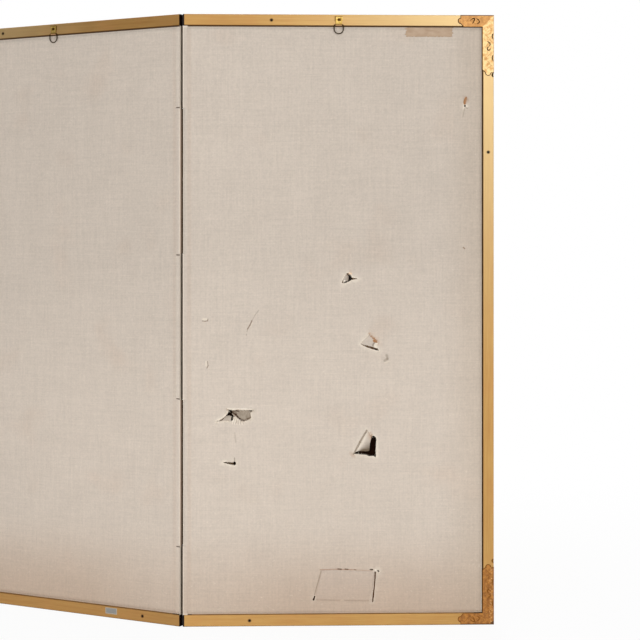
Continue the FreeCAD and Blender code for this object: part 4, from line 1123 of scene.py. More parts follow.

# %% [markdown]
# ## Corner fittings
# The fittings are thin gilt copper, bent round the corners, with a stippled ground, chased leaves and curls, and a
# line that follows their edge. The top pair is pale gold and the bottom pair has tarnished to copper. A top fitting's
# level arm is darker and more orange, partly tarnish and partly painted shade, the bottom pair's upright arms get
# painted glints, and painted shade darkens the ends, the outer sides and the outer foot corners. The stipple is a
# Voronoi pattern of small dimples. The leaves are lines on the metal, so they are drawn as curves.

# %% The finish of the fittings
def gilt_copper(side):
    f = Finish("gilt_copper", side)
    dimples = f.node("ShaderNodeTexVoronoi", {"feature": "F1"}, {"Vector": f.place, "Scale": 620.0})
    blotch = f.noise(0.009, detail=4.0, seed=2.0)
    fine = f.noise(0.0036, detail=2.0, seed=8.0)
    aged = f.rise(f.z, 1.0, 0.4)
    gilt = f.mix(f.rise(blotch, 0.42, 0.66), dye(229, 192, 134), dye(198, 148, 84))
    # The top fitting's level arm is darker and more orange: partly tarnish, partly painted shade away from the lamp.
    over_mitre = (f.z - 1.6676) - (f.x - 0.8348) * 1.04
    uneven = f.rise(blotch, 0.3, 0.7)
    gilt = f.mix(f.rise(over_mitre, -0.0012, 0.0012), gilt, f.mix(uneven, dye(196, 142, 76), dye(170, 118, 60)))
    copper = f.mix(uneven, dye(144, 90, 36), dye(190, 128, 56))
    copper = f.mix(f.rise(fine, 0.58, 0.68) * 0.6, copper, dye(92, 64, 26))
    # Painted highlights: pale glints on the outer part of the bottom fittings' upright arms.
    painted_glints_on_upright = f.rise(f.x, 0.852, 0.856) * f.rise(f.x, 0.864, 0.860)
    copper = f.mix(f.rise(f.noise(0.0042, detail=1.0, seed=17.0), 0.56, 0.66) * painted_glints_on_upright, copper, dye(222, 172, 112))
    colour = f.mix(aged, gilt, copper)
    colour = f.mix(f.rise(dimples, 0.5, 0.9) * 0.2, colour, dye(120, 80, 40))
    # Painted shade along the fittings' top and bottom ends, their outer side and the outer foot corner.
    shade_at_fitting_ends = f.rise(f.z, 1.6972, 1.6990).greater(f.rise(f.z, 0.0042, 0.0022))
    painted_edge_shade = shade_at_fitting_ends.greater(f.rise(f.x, 0.8642, 0.8658) * 0.5)
    corner = f.rise((f.x - 0.866) * (f.x - 0.866) + f.z * f.z, 0.00014, 0.00007)
    colour = f.mix(painted_edge_shade.greater(corner) * 0.85, colour, dye(62, 38, 16))
    return f.cover(colour, 0.38 + 0.12 * aged + 0.16 * (blotch - 0.5), dimples + blotch, 0.0002, 0.45)


def chased(name, light, dark):
    """A line that has kept its dirt. On the bottom fittings it is as brown as the metal round it."""
    f = Finish(name)
    shade = f.mix(f.noise(0.004, detail=2.0), dye(*dark), dye(*light))
    return f.cover(f.mix(f.rise(f.z, 1.0, 0.4) * 0.9, shade, dye(136, 86, 36)), 0.9, shine=0.0)


GILT = {side: gilt_copper(side) for side in SIDES}
FAINT = chased("faint_line", (188, 140, 80), (154, 108, 56))
BLACKENED = chased("blackened_line", (62, 40, 18), (24, 15, 6))
for side in SIDES:
    for name in ("corner_fitting_top", "corner_fitting_bottom", "fitting_pins"):
        dress(f"{name}_{side}", GILT[side])
print("fittings gilded")

# %% [markdown]
# The ornament of a fitting is a stem that waves along each arm, with curls and leaves that turn off it to both
# sides, and a slim rim. Two bold commas, two hooks and notches at the outer edge are cut deeper and have gone dark.
# A tree makes each line a flattened wire that lies almost sunk in the metal, so a low ridge shows. The rim isn't
# drawn: it follows the border of the fitting's own flat face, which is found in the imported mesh.

# %% Lines on the metal
def smooth_run(places, steps=6):
    """A smooth line through a few places."""
    spots = []
    for k in range(len(places) - 1):
        before, a, b, after = (Vector(places[min(max(n, 0), len(places) - 1)]) for n in (k - 1, k, k + 1, k + 2))
        for s in range(steps):
            t = s / steps
            spots.append(0.5 * (2 * a + (b - before) * t + (2 * before - 5 * a + 4 * b - after) * t * t
                                + (3 * a - before - 3 * b + after) * t ** 3))
    return [tuple(p) for p in spots] + [tuple(places[-1])]


def curl(start, heading, size, hand):
    """A spiral that leaves its start with a heading and closes up to one hand."""
    spots, (x, z), angle, count = [], start, heading, 22
    for k in range(count):
        spots.append((x, z))
        t = k / count
        angle += hand * (0.19 + 0.5 * t)
        pace = size * (1 - 0.8 * t) * 0.17
        x, z = x + pace * math.cos(angle), z + pace * math.sin(angle)
    return spots


def leaf(root, heading, length, width):
    """Both edges of a pointed leaf."""
    tip = (root[0] + length * math.cos(heading), root[1] + length * math.sin(heading))
    runs = []
    for edge in (1, -1):
        belly = [(root[0] + length * t * math.cos(heading) - edge * width * h * math.sin(heading),
                  root[1] + length * t * math.sin(heading) + edge * width * h * math.cos(heading))
                 for t, h in ((0.3, 0.5), (0.65, 0.42))]
        runs.append(smooth_run([root, *belly, tip], 4))
    return runs


def scroll(length, swing):
    """A waving stem from 0 to the length, with a curl and a leaf in every bend."""
    def stem(x):
        return swing * math.sin(2 * math.pi * x / 34)
    runs = [[(length * k / 60, stem(length * k / 60)) for k in range(61)]]
    for n in range(int(length / 17)):
        top, hand = 8.5 + 17 * n, 1 if n % 2 == 0 else -1
        runs.append(curl((top - 6, stem(top - 6)), 0.5 * hand, 7.5, -hand))
        runs.append(curl((top + 4, stem(top + 4)), 0.9 * hand, 5.0, hand))
        runs += leaf((top, stem(top)), 1.35 * hand, 5.5, 2.6)
        runs += leaf((top + 7, stem(top + 7)), -0.9 * hand, 5.0, 2.2)
    return runs


print(len(scroll(90, 5)), "fine lines on a short arm")

# %% Bold marks and the whole of a fitting
COMMAS = (((799.5, 1684.3), (804, 1688.6), (811, 1691), (811.5, 1686), (805.5, 1675)),
          ((816.5, 1691), (822.5, 1687.5), (826, 1681), (818, 1674.8)))
HOOKS = (((847, 1627), (853, 1624), (856, 1618), (852.5, 1613.8)),
         ((854, 1611.8), (849, 1609.8), (848, 1605.5), (851, 1602), (856, 1605.2), (855, 1610)))
NOTCHES = {"top": ((1641, 9), (1581, 9), (1533, 5)), "bottom": ((178, 5), (119, 9), (59, 9))}
RAIL_HALF = 16


def bold_lines(corner):
    """The deep marks of a fitting. Those of the top one are mirrored for the bottom one, but the notches aren't."""
    runs = [smooth_run([(x, z if corner == "top" else HEIGHT - z) for x, z in places]) for places in COMMAS + HOOKS]
    for z, reach in NOTCHES[corner]:
        bow = ((865, 1), (862.6, 0.6), (861.6, 0), (862.8, -0.6), (865, -1))
        runs.append(smooth_run([(x, z + share * reach) for x, share in bow]))
    return runs


def fine_lines(corner):
    """Two scrolls that meet near the corner, as runs of places (x, z) on a face."""
    rail_z, down = (HEIGHT - RAIL_HALF, -1) if corner == "top" else (RAIL_HALF, 1)
    runs = [[(842 - s, rail_z + t) for s, t in run] for run in scroll(66, 6.5)]
    return runs + [[(850.5 + t, rail_z + down * (12 + s)) for s, t in run] for run in scroll(128, 6)]


def way(side, *step):
    """The direction of a step on a panel, such as (1, 0, 0) for outwards."""
    return (on_panel(side, *step) - on_panel(side, 0, 0, 0)).normalized()


def rim_lines(name, side, face, sunk, tips):
    """The border of a fitting's back (-1) or front (1) face, sunk a little, at its two tips or between them."""
    corner, out, deep = on_panel(side, 0, 0, 0), way(side, 1, 0, 0), way(side, 0, 1, 0)
    outer_x, top, turned, tip_x, tip_z = 0.8660, cad_high.z, MM, 0.790, 0.150
    shell = bmesh.new()
    shell.from_mesh(nodes[name].data)
    bmesh.ops.remove_doubles(shell, verts=shell.verts, dist=1e-6)
    kept = []
    for edge in shell.edges:
        flat = [f for f in edge.link_faces if face * f.normal.dot(deep) > 0.99]
        ends = [v.co for v in edge.verts]
        outer = all((p - corner).dot(out) > outer_x for p in ends)
        outer = outer or all(p.z > top - turned for p in ends) or all(p.z < turned for p in ends)
        at_tip = all((p - corner).dot(out) < tip_x or tip_z < p.z < top - tip_z for p in ends)
        if len(flat) == 1 and not outer and at_tip == tips:
            kept.append([p - deep * face * MM * sunk for p in ends])
    shell.free()
    return kept


print(len(bold_lines("top")), "bold lines on a top fitting")

# %% Wire for the chasing
HALF_HIGH, PROUD = 0.3, 0.12
lines = GeometrySheet("chased_wire", half_width=0.0006, half_height=MM * HALF_HIGH, taper=0.0, deep_x=0.0, deep_y=1.0)
run_of_points = lines.node("GeometryNodeMeshToCurve", {}, {"Mesh": lines.given})
deep_way = lines.node("ShaderNodeCombineXYZ", {}, {"X": lines.size("deep_x"), "Y": lines.size("deep_y")})
upright_run = lines.node("GeometryNodeSetCurveNormal", {"mode": "FREE"}, {"Curve": run_of_points, "Normal": deep_way})
share = lines.node("GeometryNodeSplineParameter")
slim_ends = 1 - lines.size("taper") * (((share - 0.5) * (share - 0.5)) * 3.4)
tapered = lines.node("GeometryNodeSetCurveRadius", {}, {"Curve": upright_run, "Radius": slim_ends})
flat_round = lines.node("GeometryNodeTransform", {}, {
    "Geometry": lines.node("GeometryNodeCurvePrimitiveCircle", {}, {"Resolution": 8, "Radius": 1.0}),
    "Scale": lines.node("ShaderNodeCombineXYZ", {}, {
        "X": lines.size("half_height"), "Y": lines.size("half_width"), "Z": 1.0})})
lines.close(lines.node("GeometryNodeCurveToMesh", {}, {
    "Curve": tapered, "Profile Curve": flat_round, "Scale": slim_ends, "Fill Caps": True}), FAINT)
print("the wire is flat, and slimmer towards its ends")

# %% Chasing both panels
def chase(name, side, runs_of, half_width, taper, tips, material):
    """Lays lines on both fittings of a panel, back and front: those of runs_of, if any, and the rim's.

    The rim is laid at its tips (tips=True), between them (False) or not at all (None).
    """
    points, edges = [], []
    sunk = HALF_HIGH - PROUD
    for corner in ("top", "bottom"):
        for face, y in ((-1, sunk - FITTING_SHEET), (1, THICK + FITTING_SHEET - sunk)):
            for run in runs_of(corner) if runs_of else ():
                first = len(points)
                points += [on_panel(side, x, y, z) for x, z in run]
                edges += [(first + k, first + k + 1) for k in range(len(run) - 1)]
            for ends in rim_lines(f"corner_fitting_{corner}_{side}", side, face, sunk, tips):
                edges.append((len(points), len(points) + 1))
                points += ends
    mesh = bpy.data.meshes.new("pattern")
    mesh.from_pydata(points, edges, [])
    weld = bmesh.new()
    weld.from_mesh(mesh)
    bmesh.ops.remove_doubles(weld, verts=weld.verts, dist=1e-5)
    weld.to_mesh(mesh)
    weld.free()
    deep = way(side, 0, 1, 0)
    wires = grown(name, put("pattern", mesh), lines.tree, half_width=MM * half_width, half_height=MM * HALF_HIGH,
                  taper=taper, deep_x=deep.x, deep_y=deep.y)
    wires.data.materials[0] = material
    print(name, len(wires.data.polygons), "faces")
    return settle(wires, side, "gilt_copper")


for side in SIDES:
    chase(f"chased_scroll_{side}", side, fine_lines, 0.36, 0.0, False, FAINT)
    chase(f"chased_marks_{side}", side, bold_lines, 2.1, 0.45, None, BLACKENED)
    chase(f"chased_tips_{side}", side, None, 1.2, 0.0, True, BLACKENED)

# %% [markdown]
# ## The ring hangers
# A brass plate is screwed to the middle of the top rail, and a D-shaped ring of wire hangs from it. The plate is
# bright, the ring and the screw have gone brown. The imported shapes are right, so they only get their metals.

# %% Brass, bright and tarnished
def brass(name, side, light, dark, roughness, metallic=0.9, shine=0.3):
    f = Finish(name, side)
    blotch = f.noise(0.003, detail=3.0)
    scuffs = f.noise(0.0008, (12, 1, 1), 2.0, 4.0)
    colour = f.mix(f.rise(blotch, 0.35, 0.65), dye(*dark), dye(*light))
    return f.cover(colour, roughness + 0.15 * (blotch - 0.5), scuffs, 0.00005, metallic, shine=shine)


def hanger_plate(side):
    """Bright, with painted shade at its edges, round the screw and above its bend, which has a painted highlight."""
    f = Finish("bright_brass", side)
    blotch = f.noise(0.003, detail=3.0)
    colour = f.mix(f.rise(blotch, 0.35, 0.65), dye(184, 146, 66), dye(218, 186, 104))
    # Painted shade: the left and top edges, a square round the screw, and a band above the bend round the ring.
    rim = f.rise(f.x, 0.4254, 0.4242).greater(f.rise(f.z, 1.6928, 1.6940))
    square = f.rise(f.x, 0.4306, 0.4316) * f.rise(f.x, 0.4406, 0.4396)
    square = square * f.rise(f.z, 1.6810, 1.6820) * f.rise(f.z, 1.6902, 1.6892)
    foot = (f.rise(f.z, 1.6704, 1.6712) * f.rise(f.z, 1.6748, 1.6736)).greater(f.rise(f.z, 1.6800, 1.6740) * 0.35)
    colour = f.mix(rim.greater(square).greater(foot * 0.8) * 0.9, colour, dye(98, 62, 8))
    # Painted highlight on the bend round the ring.
    colour = f.mix(f.rise(f.z, 1.6708, 1.6700), colour, dye(206, 160, 118))
    return f.cover(colour, 0.45, blotch, 0.00005, 0.7)


for side in SIDES:
    dress(f"hanger_strap_{side}", hanger_plate(side))
    dress(f"hanger_screw_{side}", brass("brown_screw", side, (98, 62, 10), (70, 42, 6), 0.6))
    dress(f"hanger_ring_{side}", brass("tarnished_ring", side, (68, 53, 28), (38, 28, 13), 0.8, 0.1, 0.05))
print("hangers done")

# %% [markdown]
# ## The paper hinge
# Five strips of paper run from the back of one panel, round its edge and over to the front of the other, in turns.
# On the real screen each strip bends in the fold. So each is one sheet here that follows the right panel at one
# end and the left panel at the other, and turns smoothly between them.

# %% Hinge strips
def hinge_inside():
    f = Finish("hinge_paper")
    fibre = f.noise(0.005, (1, 1, 6), 3.0)
    return f.cover(f.mix(fibre, dye(58, 34, 14), dye(92, 62, 34)), 0.9, fibre, 0.0002, shine=0.0)


HINGE_THICK = 0.4
BACK_TAB = ((13.3, 1.7), (8, 1.62), (3, 1.6), (1.4, 1.6), (0.6, 1.8), (0.4, 2.4), (0.4, 6), (0.4, 9.3))
EDGE_BEFORE_BEND = tuple((0.4, 9.3 + 5.5 * k / 3) for k in range(1, 4))
FRONT_TAB = ((0.9, 15.25), (4, 15.4), (13.3, 15.4))


def hinge_strip(number, wrapped, low, high):
    """A strip from its tab on the back of the wrapped panel, round that panel's edge, to the front of the other."""
    other = "left" if wrapped == "right" else "right"
    line = [on_panel(wrapped, x, y, 0) for x, y in BACK_TAB + EDGE_BEFORE_BEND]
    end = [on_panel(other, x, y, 0) for x, y in FRONT_TAB]
    start, stop = line[-1], end[0]
    pivot = Vector((FOLD.x, FOLD.y, 0))
    for k in range(1, 6):
        between = (start - pivot).lerp(stop - pivot, k / 6)
        line.append(pivot + between.normalized() * (start - pivot).length)
    line += end
    tall, wide = 8, len(line)
    levels = [low + (high - low) * k / tall for k in range(tall + 1)]
    points = [Vector((p.x, p.y, MM * z)) for z in levels for p in line]
    mesh = bpy.data.meshes.new(f"hinge_zone_{number}")
    mesh.from_pydata(points, [], fields(wide - 1, tall))
    if wrapped == "left":
        mesh.flip_normals()
    return mesh, wide, start, stop


HINGE_INSIDE = hinge_inside()
HINGE_TAB = {side: worn_cloth(side, "hinge_tab", (208, 194, 180), 0.8) for side in SIDES}
for number in range(1, 6):
    wrapped = "right" if number % 2 else "left"
    low, high = (end.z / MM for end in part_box(f"hinge_strip_{number}_{wrapped}"))
    mesh, wide, start, stop = hinge_strip(number, wrapped, low, high)
    strip = put(mesh.name, mesh)
    mesh.materials.append(HINGE_INSIDE)
    mesh.materials.append(HINGE_TAB[wrapped])
    for polygon in mesh.polygons:
        column = min(polygon.vertices) % wide
        polygon.material_index = 1 if column < (5 if wrapped == "right" else 7) else 0
    mark(strip, "pale", [0.5 if 3 <= k % wide <= 5 else 0 for k in range(len(mesh.vertices))])
    mark(strip, "scorched", [0.4 if k % wide > 5 else 0 for k in range(len(mesh.vertices))])
    thicken(strip, HINGE_THICK)
    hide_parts(f"hinge_strip_{number}_right", f"hinge_strip_{number}_left")
    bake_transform(strip)
print("five strips bend in the fold")

# %% [markdown]
# ## The front
# The photograph is taken from behind, so nothing of the front shows. It gets a plain traditional scene of autumn
# grasses under a low moon on gold leaf, inside a border of woven silk.

# %% Silk borders
def woven_silk(side, name, ground, figure, cell):
    """A lozenge pattern: the sum of two slanting triangle waves."""
    f = Finish(name, side)
    slopes = [f.node("ShaderNodeMath", {"operation": "PINGPONG"}, {0: f.x * 1.7 + f.z * sign + 10, 1: cell})
              for sign in (1, -1)]
    lattice = (slopes[0] * (1 / cell)).lesser(slopes[1] * (1 / cell))
    ring = f.rise(lattice, 0.12, 0.18) * f.rise(lattice, 0.34, 0.28)
    heart = f.rise(lattice, 0.72, 0.8)
    thread = f.noise(0.0006, (1, 1, 8), 1.0)
    base = f.mix(thread, dye(*ground), dye(*[min(255, v + 16) for v in ground]))
    colour = f.mix((ring + heart).lesser(1), base, dye(*figure))
    colour = f.mix(f.rise(f.noise(0.08, detail=3.0, seed=3.0), 0.5, 0.8) * 0.3, colour, dye(128, 112, 84))
    return f.cover(colour, 0.62, ring + heart + thread * 0.5, 0.0002)


START, FRONT, SILK_THICK = 0.8, 15.0, 0.35
FRAME_LINE, SEAM_LINE, PAINTING_LINE = (835, 32, 1668), (773, 94, 1606), (764, 103, 1597)


def framed_band(name, side, outer, inner, material, slot, replaced):
    """A flat band between two lines (x, lowest z, highest z), on three sides and open towards the fold."""
    points = [(x, FRONT, z) for out_x, low, high in (outer, inner)
              for x, z in ((START, low), (out_x, low), (out_x, high), (START, high))]
    faces = [(0, 4, 5, 1), (1, 5, 6, 2), (2, 6, 7, 3)]
    settle(thicken(new_piece(name, side, points, faces, material), SILK_THICK), side, slot, replaced)


for side in SIDES:
    brocade = woven_silk(side, "brocade", (74, 86, 64), (190, 160, 98), 0.027)
    inner_silk = woven_silk(side, "inner_silk", (112, 50, 34), (150, 84, 52), 0.004)
    framed_band(f"brocade_band_{side}", side, FRAME_LINE, SEAM_LINE, brocade, "brocade", f"wide_border_{side}")
    framed_band(f"silk_band_{side}", side, SEAM_LINE, PAINTING_LINE, inner_silk, "border_silk",
                f"narrow_border_{side}")
print("borders on both fronts")

# %% [markdown]
# Gold leaf is laid in squares of about a hand's width that overlap by a few millimetres, and the doubled edges show
# as a faint grid. A tree lays the squares in rows, each with its own small turn and its own tone.

# %% Gold leaf
def gold_leaf(side):
    f = Finish("gold_leaf", side)
    tone = f.marked("leaf_tone")
    creases = f.noise(0.012, detail=5.0)
    colour = f.mix(tone, dye(204, 162, 84), dye(218, 178, 98))
    colour = f.mix(f.rise(creases, 0.6, 0.72) * 0.5, colour, dye(176, 124, 66))
    mist = f.rise(f.noise(0.5, (1.6, 1, 0.35), 2.0, 21.0), 0.48, 0.64) * 0.3
    colour = f.mix(mist, colour, dye(226, 194, 124))
    return f.cover(colour, 0.52 + 0.2 * (creases - 0.5), creases, 0.0001, 0.5, shine=0.3)


def leaf_sheet(side):
    leaves = GeometrySheet(f"gold_leaf_squares_{side}", square=0.109, thickness=0.00004, seed=2)
    tile = leaves.node("GeometryNodeMeshCube", {}, {"Size": leaves.node("ShaderNodeCombineXYZ", {}, {
        "X": leaves.size("square"), "Y": leaves.size("thickness"), "Z": leaves.size("square")})})
    turns = leaves.node("FunctionNodeRandomValue", {"data_type": "FLOAT_VECTOR"}, {
        "Min": (-0.0001, -0.012, -0.0001), "Max": (0.0001, 0.012, 0.0001), "Seed": leaves.size("seed")})
    straight = leaves.node("FunctionNodeRotateEuler", {"rotation_type": "EULER", "space": "LOCAL"}, {
        "Rotation": (0, 0, TURN * -1 if side == "left" else 0), "Rotate By": turns})
    laid = leaves.node("GeometryNodeInstanceOnPoints", {}, {
        "Points": leaves.given, "Instance": tile, "Rotation": straight})
    tone = leaves.node("FunctionNodeRandomValue", {"data_type": "FLOAT"}, {"Seed": leaves.size("seed") + 3})
    toned = leaves.node("GeometryNodeStoreNamedAttribute", {"data_type": "FLOAT", "domain": "INSTANCE"}, {
        "Geometry": laid, "Name": "leaf_tone", "Value": tone})
    return leaves.close(toned, gold_leaf(side))


PAINTING_X, PAINTING_LOW, PAINTING_HIGH = PAINTING_LINE
LOWEST_LEAF, OVERLAP_LIFT = 14.78, 0.05
columns, rows = 7, 14
for side in SIDES:
    squares = []
    for i in range(columns):
        for k in range(rows):
            squares.append((START + (PAINTING_X - START) * (i + 0.5) / columns,
                            LOWEST_LEAF + OVERLAP_LIFT * ((i + 2 * k) % 4),
                            PAINTING_LOW + (PAINTING_HIGH - PAINTING_LOW) * (k + 0.5) / rows))
    leafed = grown(f"gold_leaf_{side}", new_piece("leaf_spots", side, squares, []), leaf_sheet(side), square=0.1095)
    settle(leafed, side, "painted_paper", f"painting_sheet_{side}")
    print(leafed.name, len(leafed.data.polygons), "faces")

# %% [markdown]
# The grasses are painted in thick mineral colours, so they stand a hair above the leaf. One blade is a thin,
# bent, tapering stroke, and a stem of pampas grass also has a pale plume of drooping strokes. A tree plants them
# along the ground line with random leans and lengths, and turns about half of them round, so they bend to both
# sides. A low bank that runs on across the fold hides their roots.

# %% Grasses
def paint(name, light, dark, size=0.02):
    f = Finish(name)
    grains = f.noise(size, detail=4.0)
    tone = f.marked("paint_tone")
    colour = f.mix(f.rise(grains * 0.6 + tone * 0.4, 0.3, 0.7), dye(*dark), dye(*light))
    return f.cover(f.mix(f.marked("plume"), colour, dye(236, 224, 194)), 0.8, grains, 0.0001)


def brush_stroke(points, faces, path, halves, back, front):
    """Adds a thin closed ribbon along places (x, z) to a list of points and a list of faces."""
    first, n, last = len(points), 2 * len(path), len(path) - 1
    for y in (back, front):
        for k, ((x, z), half) in enumerate(zip(path, halves)):
            before, after = path[max(k - 1, 0)], path[min(k + 1, last)]
            length = math.dist(before, after)
            across, down = half * (after[1] - before[1]) / length, half * (after[0] - before[0]) / length
            points += [(x - across, y, z + down), (x + across, y, z - down)]
    for a in range(first, first + n - 2, 2):
        faces += [(a, a + 1, a + 3, a + 2), (n + a, n + a + 2, n + a + 3, n + a + 1),
                  (a, a + 2, n + a + 2, n + a), (a + 1, n + a + 1, n + a + 3, a + 3)]
    end = first + n - 2
    faces += [(first, first + n, first + n + 1, first + 1), (end, end + 1, end + n + 1, end + n)]


def blade(width, bend, plume=False, count=14):
    """A stroke of height 1 in x and z that leans over, with a plume of strands if that is asked for."""
    points, faces, thick = [], [], 0.00006
    path = [(bend * (k / count) ** 2.2, k / count * (1 - 0.25 * bend * (k / count) ** 2)) for k in range(count + 1)]
    halves = [width * (0.35 + 0.65 * math.sin(math.pi * min(1, k / count * 1.3 + 0.12))) * (1 - k / count) ** 0.6 / 2
              + 0.0004 for k in range(count + 1)]
    brush_stroke(points, faces, path, halves, -thick, thick)
    bare = len(points)
    for k in range(11 if plume else 0):
        x, z = path[count - 4 + 4 * k // 11]
        way, reach = (1, 0.115) if k % 3 else (-0.55, 0.09)
        strand = [(x + way * reach * (0.75 * t - 0.1 * t * t), z + reach * (1.1 * t - (1.0 + 0.09 * k) * t * t))
                  for t in (0, 0.2, 0.4, 0.6, 0.8, 1.0)]
        brush_stroke(points, faces, strand, (0.0006, 0.0016, 0.0022, 0.0020, 0.0013, 0.0004), -thick, thick)
    mesh = bpy.data.meshes.new("blade")
    mesh.from_pydata(points, [], faces)
    marks = mesh.attributes.new("plume", "FLOAT", "POINT")
    marks.data.foreach_set("value", [0.0] * bare + [0.9] * (len(points) - bare))
    return mesh


def planting(name, side, shape, material, lean, low, high):
    """A tree that stands copies of a shape on the points of a base piece."""
    holder = bpy.data.objects.new(f"{name}_shape", shape)
    bed = GeometrySheet(name, shortest=low, tallest=high, lean=lean, seed=5)
    plant = bed.node("GeometryNodeObjectInfo", {}, {"Object": holder}).output("Geometry")
    seed = bed.size("seed")
    room = bed.node("GeometryNodeInputNamedAttribute", {"data_type": "FLOAT"}, {"Name": "room"})
    about = bed.node("FunctionNodeRandomValue", {"data_type": "INT"}, {"Min": 0, "Max": 1, "Seed": seed})
    tilt = bed.node("FunctionNodeRandomValue", {"data_type": "FLOAT"}, {
        "Min": bed.size("lean") * -1, "Max": bed.size("lean"), "Seed": seed + 1})
    tall = bed.node("FunctionNodeRandomValue", {"data_type": "FLOAT"}, {
        "Min": bed.size("shortest"), "Max": bed.size("tallest"), "Seed": seed + 2}).lesser(room)
    spin = bed.node("ShaderNodeCombineXYZ", {}, {"Y": tilt})
    facing = bed.node("ShaderNodeCombineXYZ", {}, {"Z": about * math.pi - (TURN if side == "left" else 0)})
    turned = bed.node("FunctionNodeRotateEuler", {"rotation_type": "EULER", "space": "LOCAL"}, {
        "Rotation": facing, "Rotate By": spin})
    size = bed.node("ShaderNodeCombineXYZ", {}, {"X": tall, "Y": 1.0, "Z": tall})
    stood = bed.node("GeometryNodeInstanceOnPoints", {}, {
        "Points": bed.given, "Instance": plant, "Rotation": turned, "Scale": size})
    tone = bed.node("FunctionNodeRandomValue", {"data_type": "FLOAT"}, {"Seed": seed + 3})
    toned = bed.node("GeometryNodeStoreNamedAttribute", {"data_type": "FLOAT", "domain": "INSTANCE"}, {
        "Geometry": stood, "Name": "paint_tone", "Value": tone})
    return bed.close(toned, material), holder


ROOT = 8
GREEN = paint("malachite", (108, 132, 84), (58, 84, 58))
BROWN = paint("ochre_stem", (170, 126, 66), (112, 80, 46))


def ground_line(side, x):
    """The height of the ground, which runs on across the fold."""
    across = x if side == "right" else -x
    return 148 + 24 * math.sin(across / 150) + 14 * wobble(across, 0, 120, 5)


def plant_row(side, name, count, seed, material, width, bend, lean, low, high, plume=False):
    """Plants a row in clumps, in three layers a little apart, and no taller than the painting leaves room for."""
    rng = random.Random(seed)
    spots = []
    while len(spots) < count:
        x = rng.uniform(40, 720)
        if rng.random() < 0.25 + 0.75 * (0.5 + 0.5 * math.sin(x / 95 + seed)):
            spots.append((x, FRONT + 0.05 - 0.03 * (len(spots) % 3), ground_line(side, x) - ROOT))
    tree, holder = planting(f"{name}_{side}", side, blade(width, bend, plume), material, lean, low, high)
    bed = new_piece("spots", side, spots, [])
    reach = bend + math.sin(lean) + 0.1 * plume
    mark(bed, "room", [1.15 * MM * min(x - 2, PAINTING_X - 2 - x) / reach for x, _, _ in spots])
    planted = grown(f"{name}_{side}", bed, tree, seed=seed)
    bpy.data.objects.remove(holder)
    return settle(planted, side, "painted_paper")


def bank(side):
    f = Finish("bank", side)
    grains = f.noise(0.03, detail=4.0)
    colour = f.mix(f.rise(f.z + 0.05 * grains, 0.125, 0.195), dye(178, 146, 84), dye(98, 122, 82))
    paint_of_bank = f.cover(colour, 0.8, grains, 0.0001)
    steps = 90
    edge = [START + (PAINTING_X - START) * k / steps for k in range(steps + 1)]
    points = [(x, FRONT + 0.16, z) for x in edge
              for z in (PAINTING_LOW, ground_line(side, x) + 2 * wobble(x, 3, 14))]
    faces = [(2 * k, 2 * k + 1, 2 * k + 3, 2 * k + 2) for k in range(steps)]
    settle(thicken(new_piece(f"bank_{side}", side, points, faces, paint_of_bank), 0.3), side, "painted_paper")


for n, side in enumerate(SIDES):
    plant_row(side, "grass_leaves", 130, 7 + n, GREEN, 0.026, 0.42, 0.50, 0.16, 0.50)
    plant_row(side, "grass_stems", 30, 17 + n, BROWN, 0.006, 0.20, 0.20, 0.45, 0.84, True)
    bank(side)
print("grasses planted on both fronts")

# %% [markdown]
# The moon is a disc of tarnished silver leaf low on the right panel's front, and small bellflowers with five petals
# stand among the leaves, each on a thin stalk that bows up from the bank. A disc is a fan of triangles round its
# middle, and a flower is a disc whose reach changes with the angle. Middles that come too close are drawn again.

# %% Moon
def round_leaf(points, faces, centre, radius, depth, spokes, reach_at=lambda angle: 1, turn=0.0):
    """Adds a disc round a centre (x, z), or a flower, to a list of points and a list of faces."""
    first = len(points)
    points.append((centre[0], depth, centre[1]))
    for k in range(spokes):
        angle = 2 * math.pi * k / spokes
        reach = radius * reach_at(angle)
        points.append((centre[0] + reach * math.cos(angle + turn), depth, centre[1] + reach * math.sin(angle + turn)))
    faces += [(first, first + 1 + (k + 1) % spokes, first + 1 + k) for k in range(spokes)]


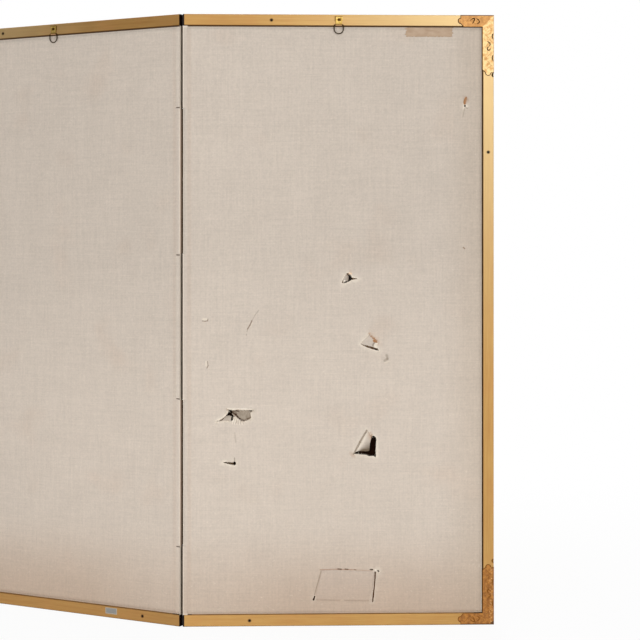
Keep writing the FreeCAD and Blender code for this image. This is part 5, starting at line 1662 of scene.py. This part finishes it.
def silver_leaf(x, z):
    """Pale silver with its middle at that place on the right panel, brown towards its rim."""
    f = Finish("silver_leaf", "right")
    bloom = f.noise(0.07, detail=3.0)
    out = (f.x - MM * x) * (f.x - MM * x) + (f.z - MM * z) * (f.z - MM * z)
    colour = f.mix(f.rise(bloom, 0.3, 0.7), dye(184, 181, 172), dye(206, 204, 197))
    colour = f.mix(f.rise(out + 0.004 * bloom, 0.012, 0.017) * 0.6, colour, dye(150, 140, 122))
    return f.cover(colour, 0.5, bloom, 0.0001, 0.5)


MOON, MOON_RADIUS, PAINT_FILM = (470, 760), 118, 0.05
moon_points, moon_faces = [], []
round_leaf(moon_points, moon_faces, MOON, MOON_RADIUS, FRONT, 48)
moon = new_piece("silver_moon", "right", moon_points, moon_faces, silver_leaf(*MOON))
settle(thicken(moon, PAINT_FILM), "right", "painted_paper")
print("a moon of", 2 * MOON_RADIUS, "mm")

# %% Flowers
def five_petals(angle):
    return 1 - 0.42 * abs(math.sin(2.5 * angle)) ** 1.5


def flower_middles(rng, count=24, apart=36):
    middles = []
    while len(middles) < count:
        middle = (rng.uniform(50, 700), rng.uniform(215, 500))
        if all(math.dist(middle, other) > apart for other in middles):
            middles.append(middle)
    return middles


BLUE = paint("azurite", (116, 132, 178), (78, 90, 142), 0.006)
STALK_STEPS = 8
for n, side in enumerate(SIDES):
    rng = random.Random(30 + n)
    middles = flower_middles(rng)
    points, faces, stalk_points, stalk_faces = [], [], [], []
    for x, z in middles:
        radius, turn = rng.uniform(10, 15), rng.uniform(0, 6)
        round_leaf(points, faces, (x, z), radius, FRONT + 0.2, 30, five_petals, turn)
        foot = min(740, max(20, x + rng.uniform(-45, 45)))
        low = ground_line(side, foot) - ROOT
        shares = [k / STALK_STEPS for k in range(STALK_STEPS + 1)]
        stalk = [(foot + (x - foot) * share ** 2, low + (z - low) * share) for share in shares]
        halves = [1.1 - 0.06 * k for k in range(STALK_STEPS + 1)]
        brush_stroke(stalk_points, stalk_faces, stalk, halves, FRONT + 0.06, FRONT + 0.13)
    flowers = new_piece(f"bellflowers_{side}", side, points, faces, BLUE)
    settle(thicken(flowers, PAINT_FILM), side, "painted_paper")
    settle(new_piece(f"flower_stalks_{side}", side, stalk_points, stalk_faces, GREEN), side, "painted_paper")
    print(len(middles), "flowers on the", side)

# %% [markdown]
# ## Last measurements
# The visual model has to stay in the imported model's box.

# %% Sizes and finish
low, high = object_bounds()
print("visual box", [round(v, 4) for v in (*low, *high)])
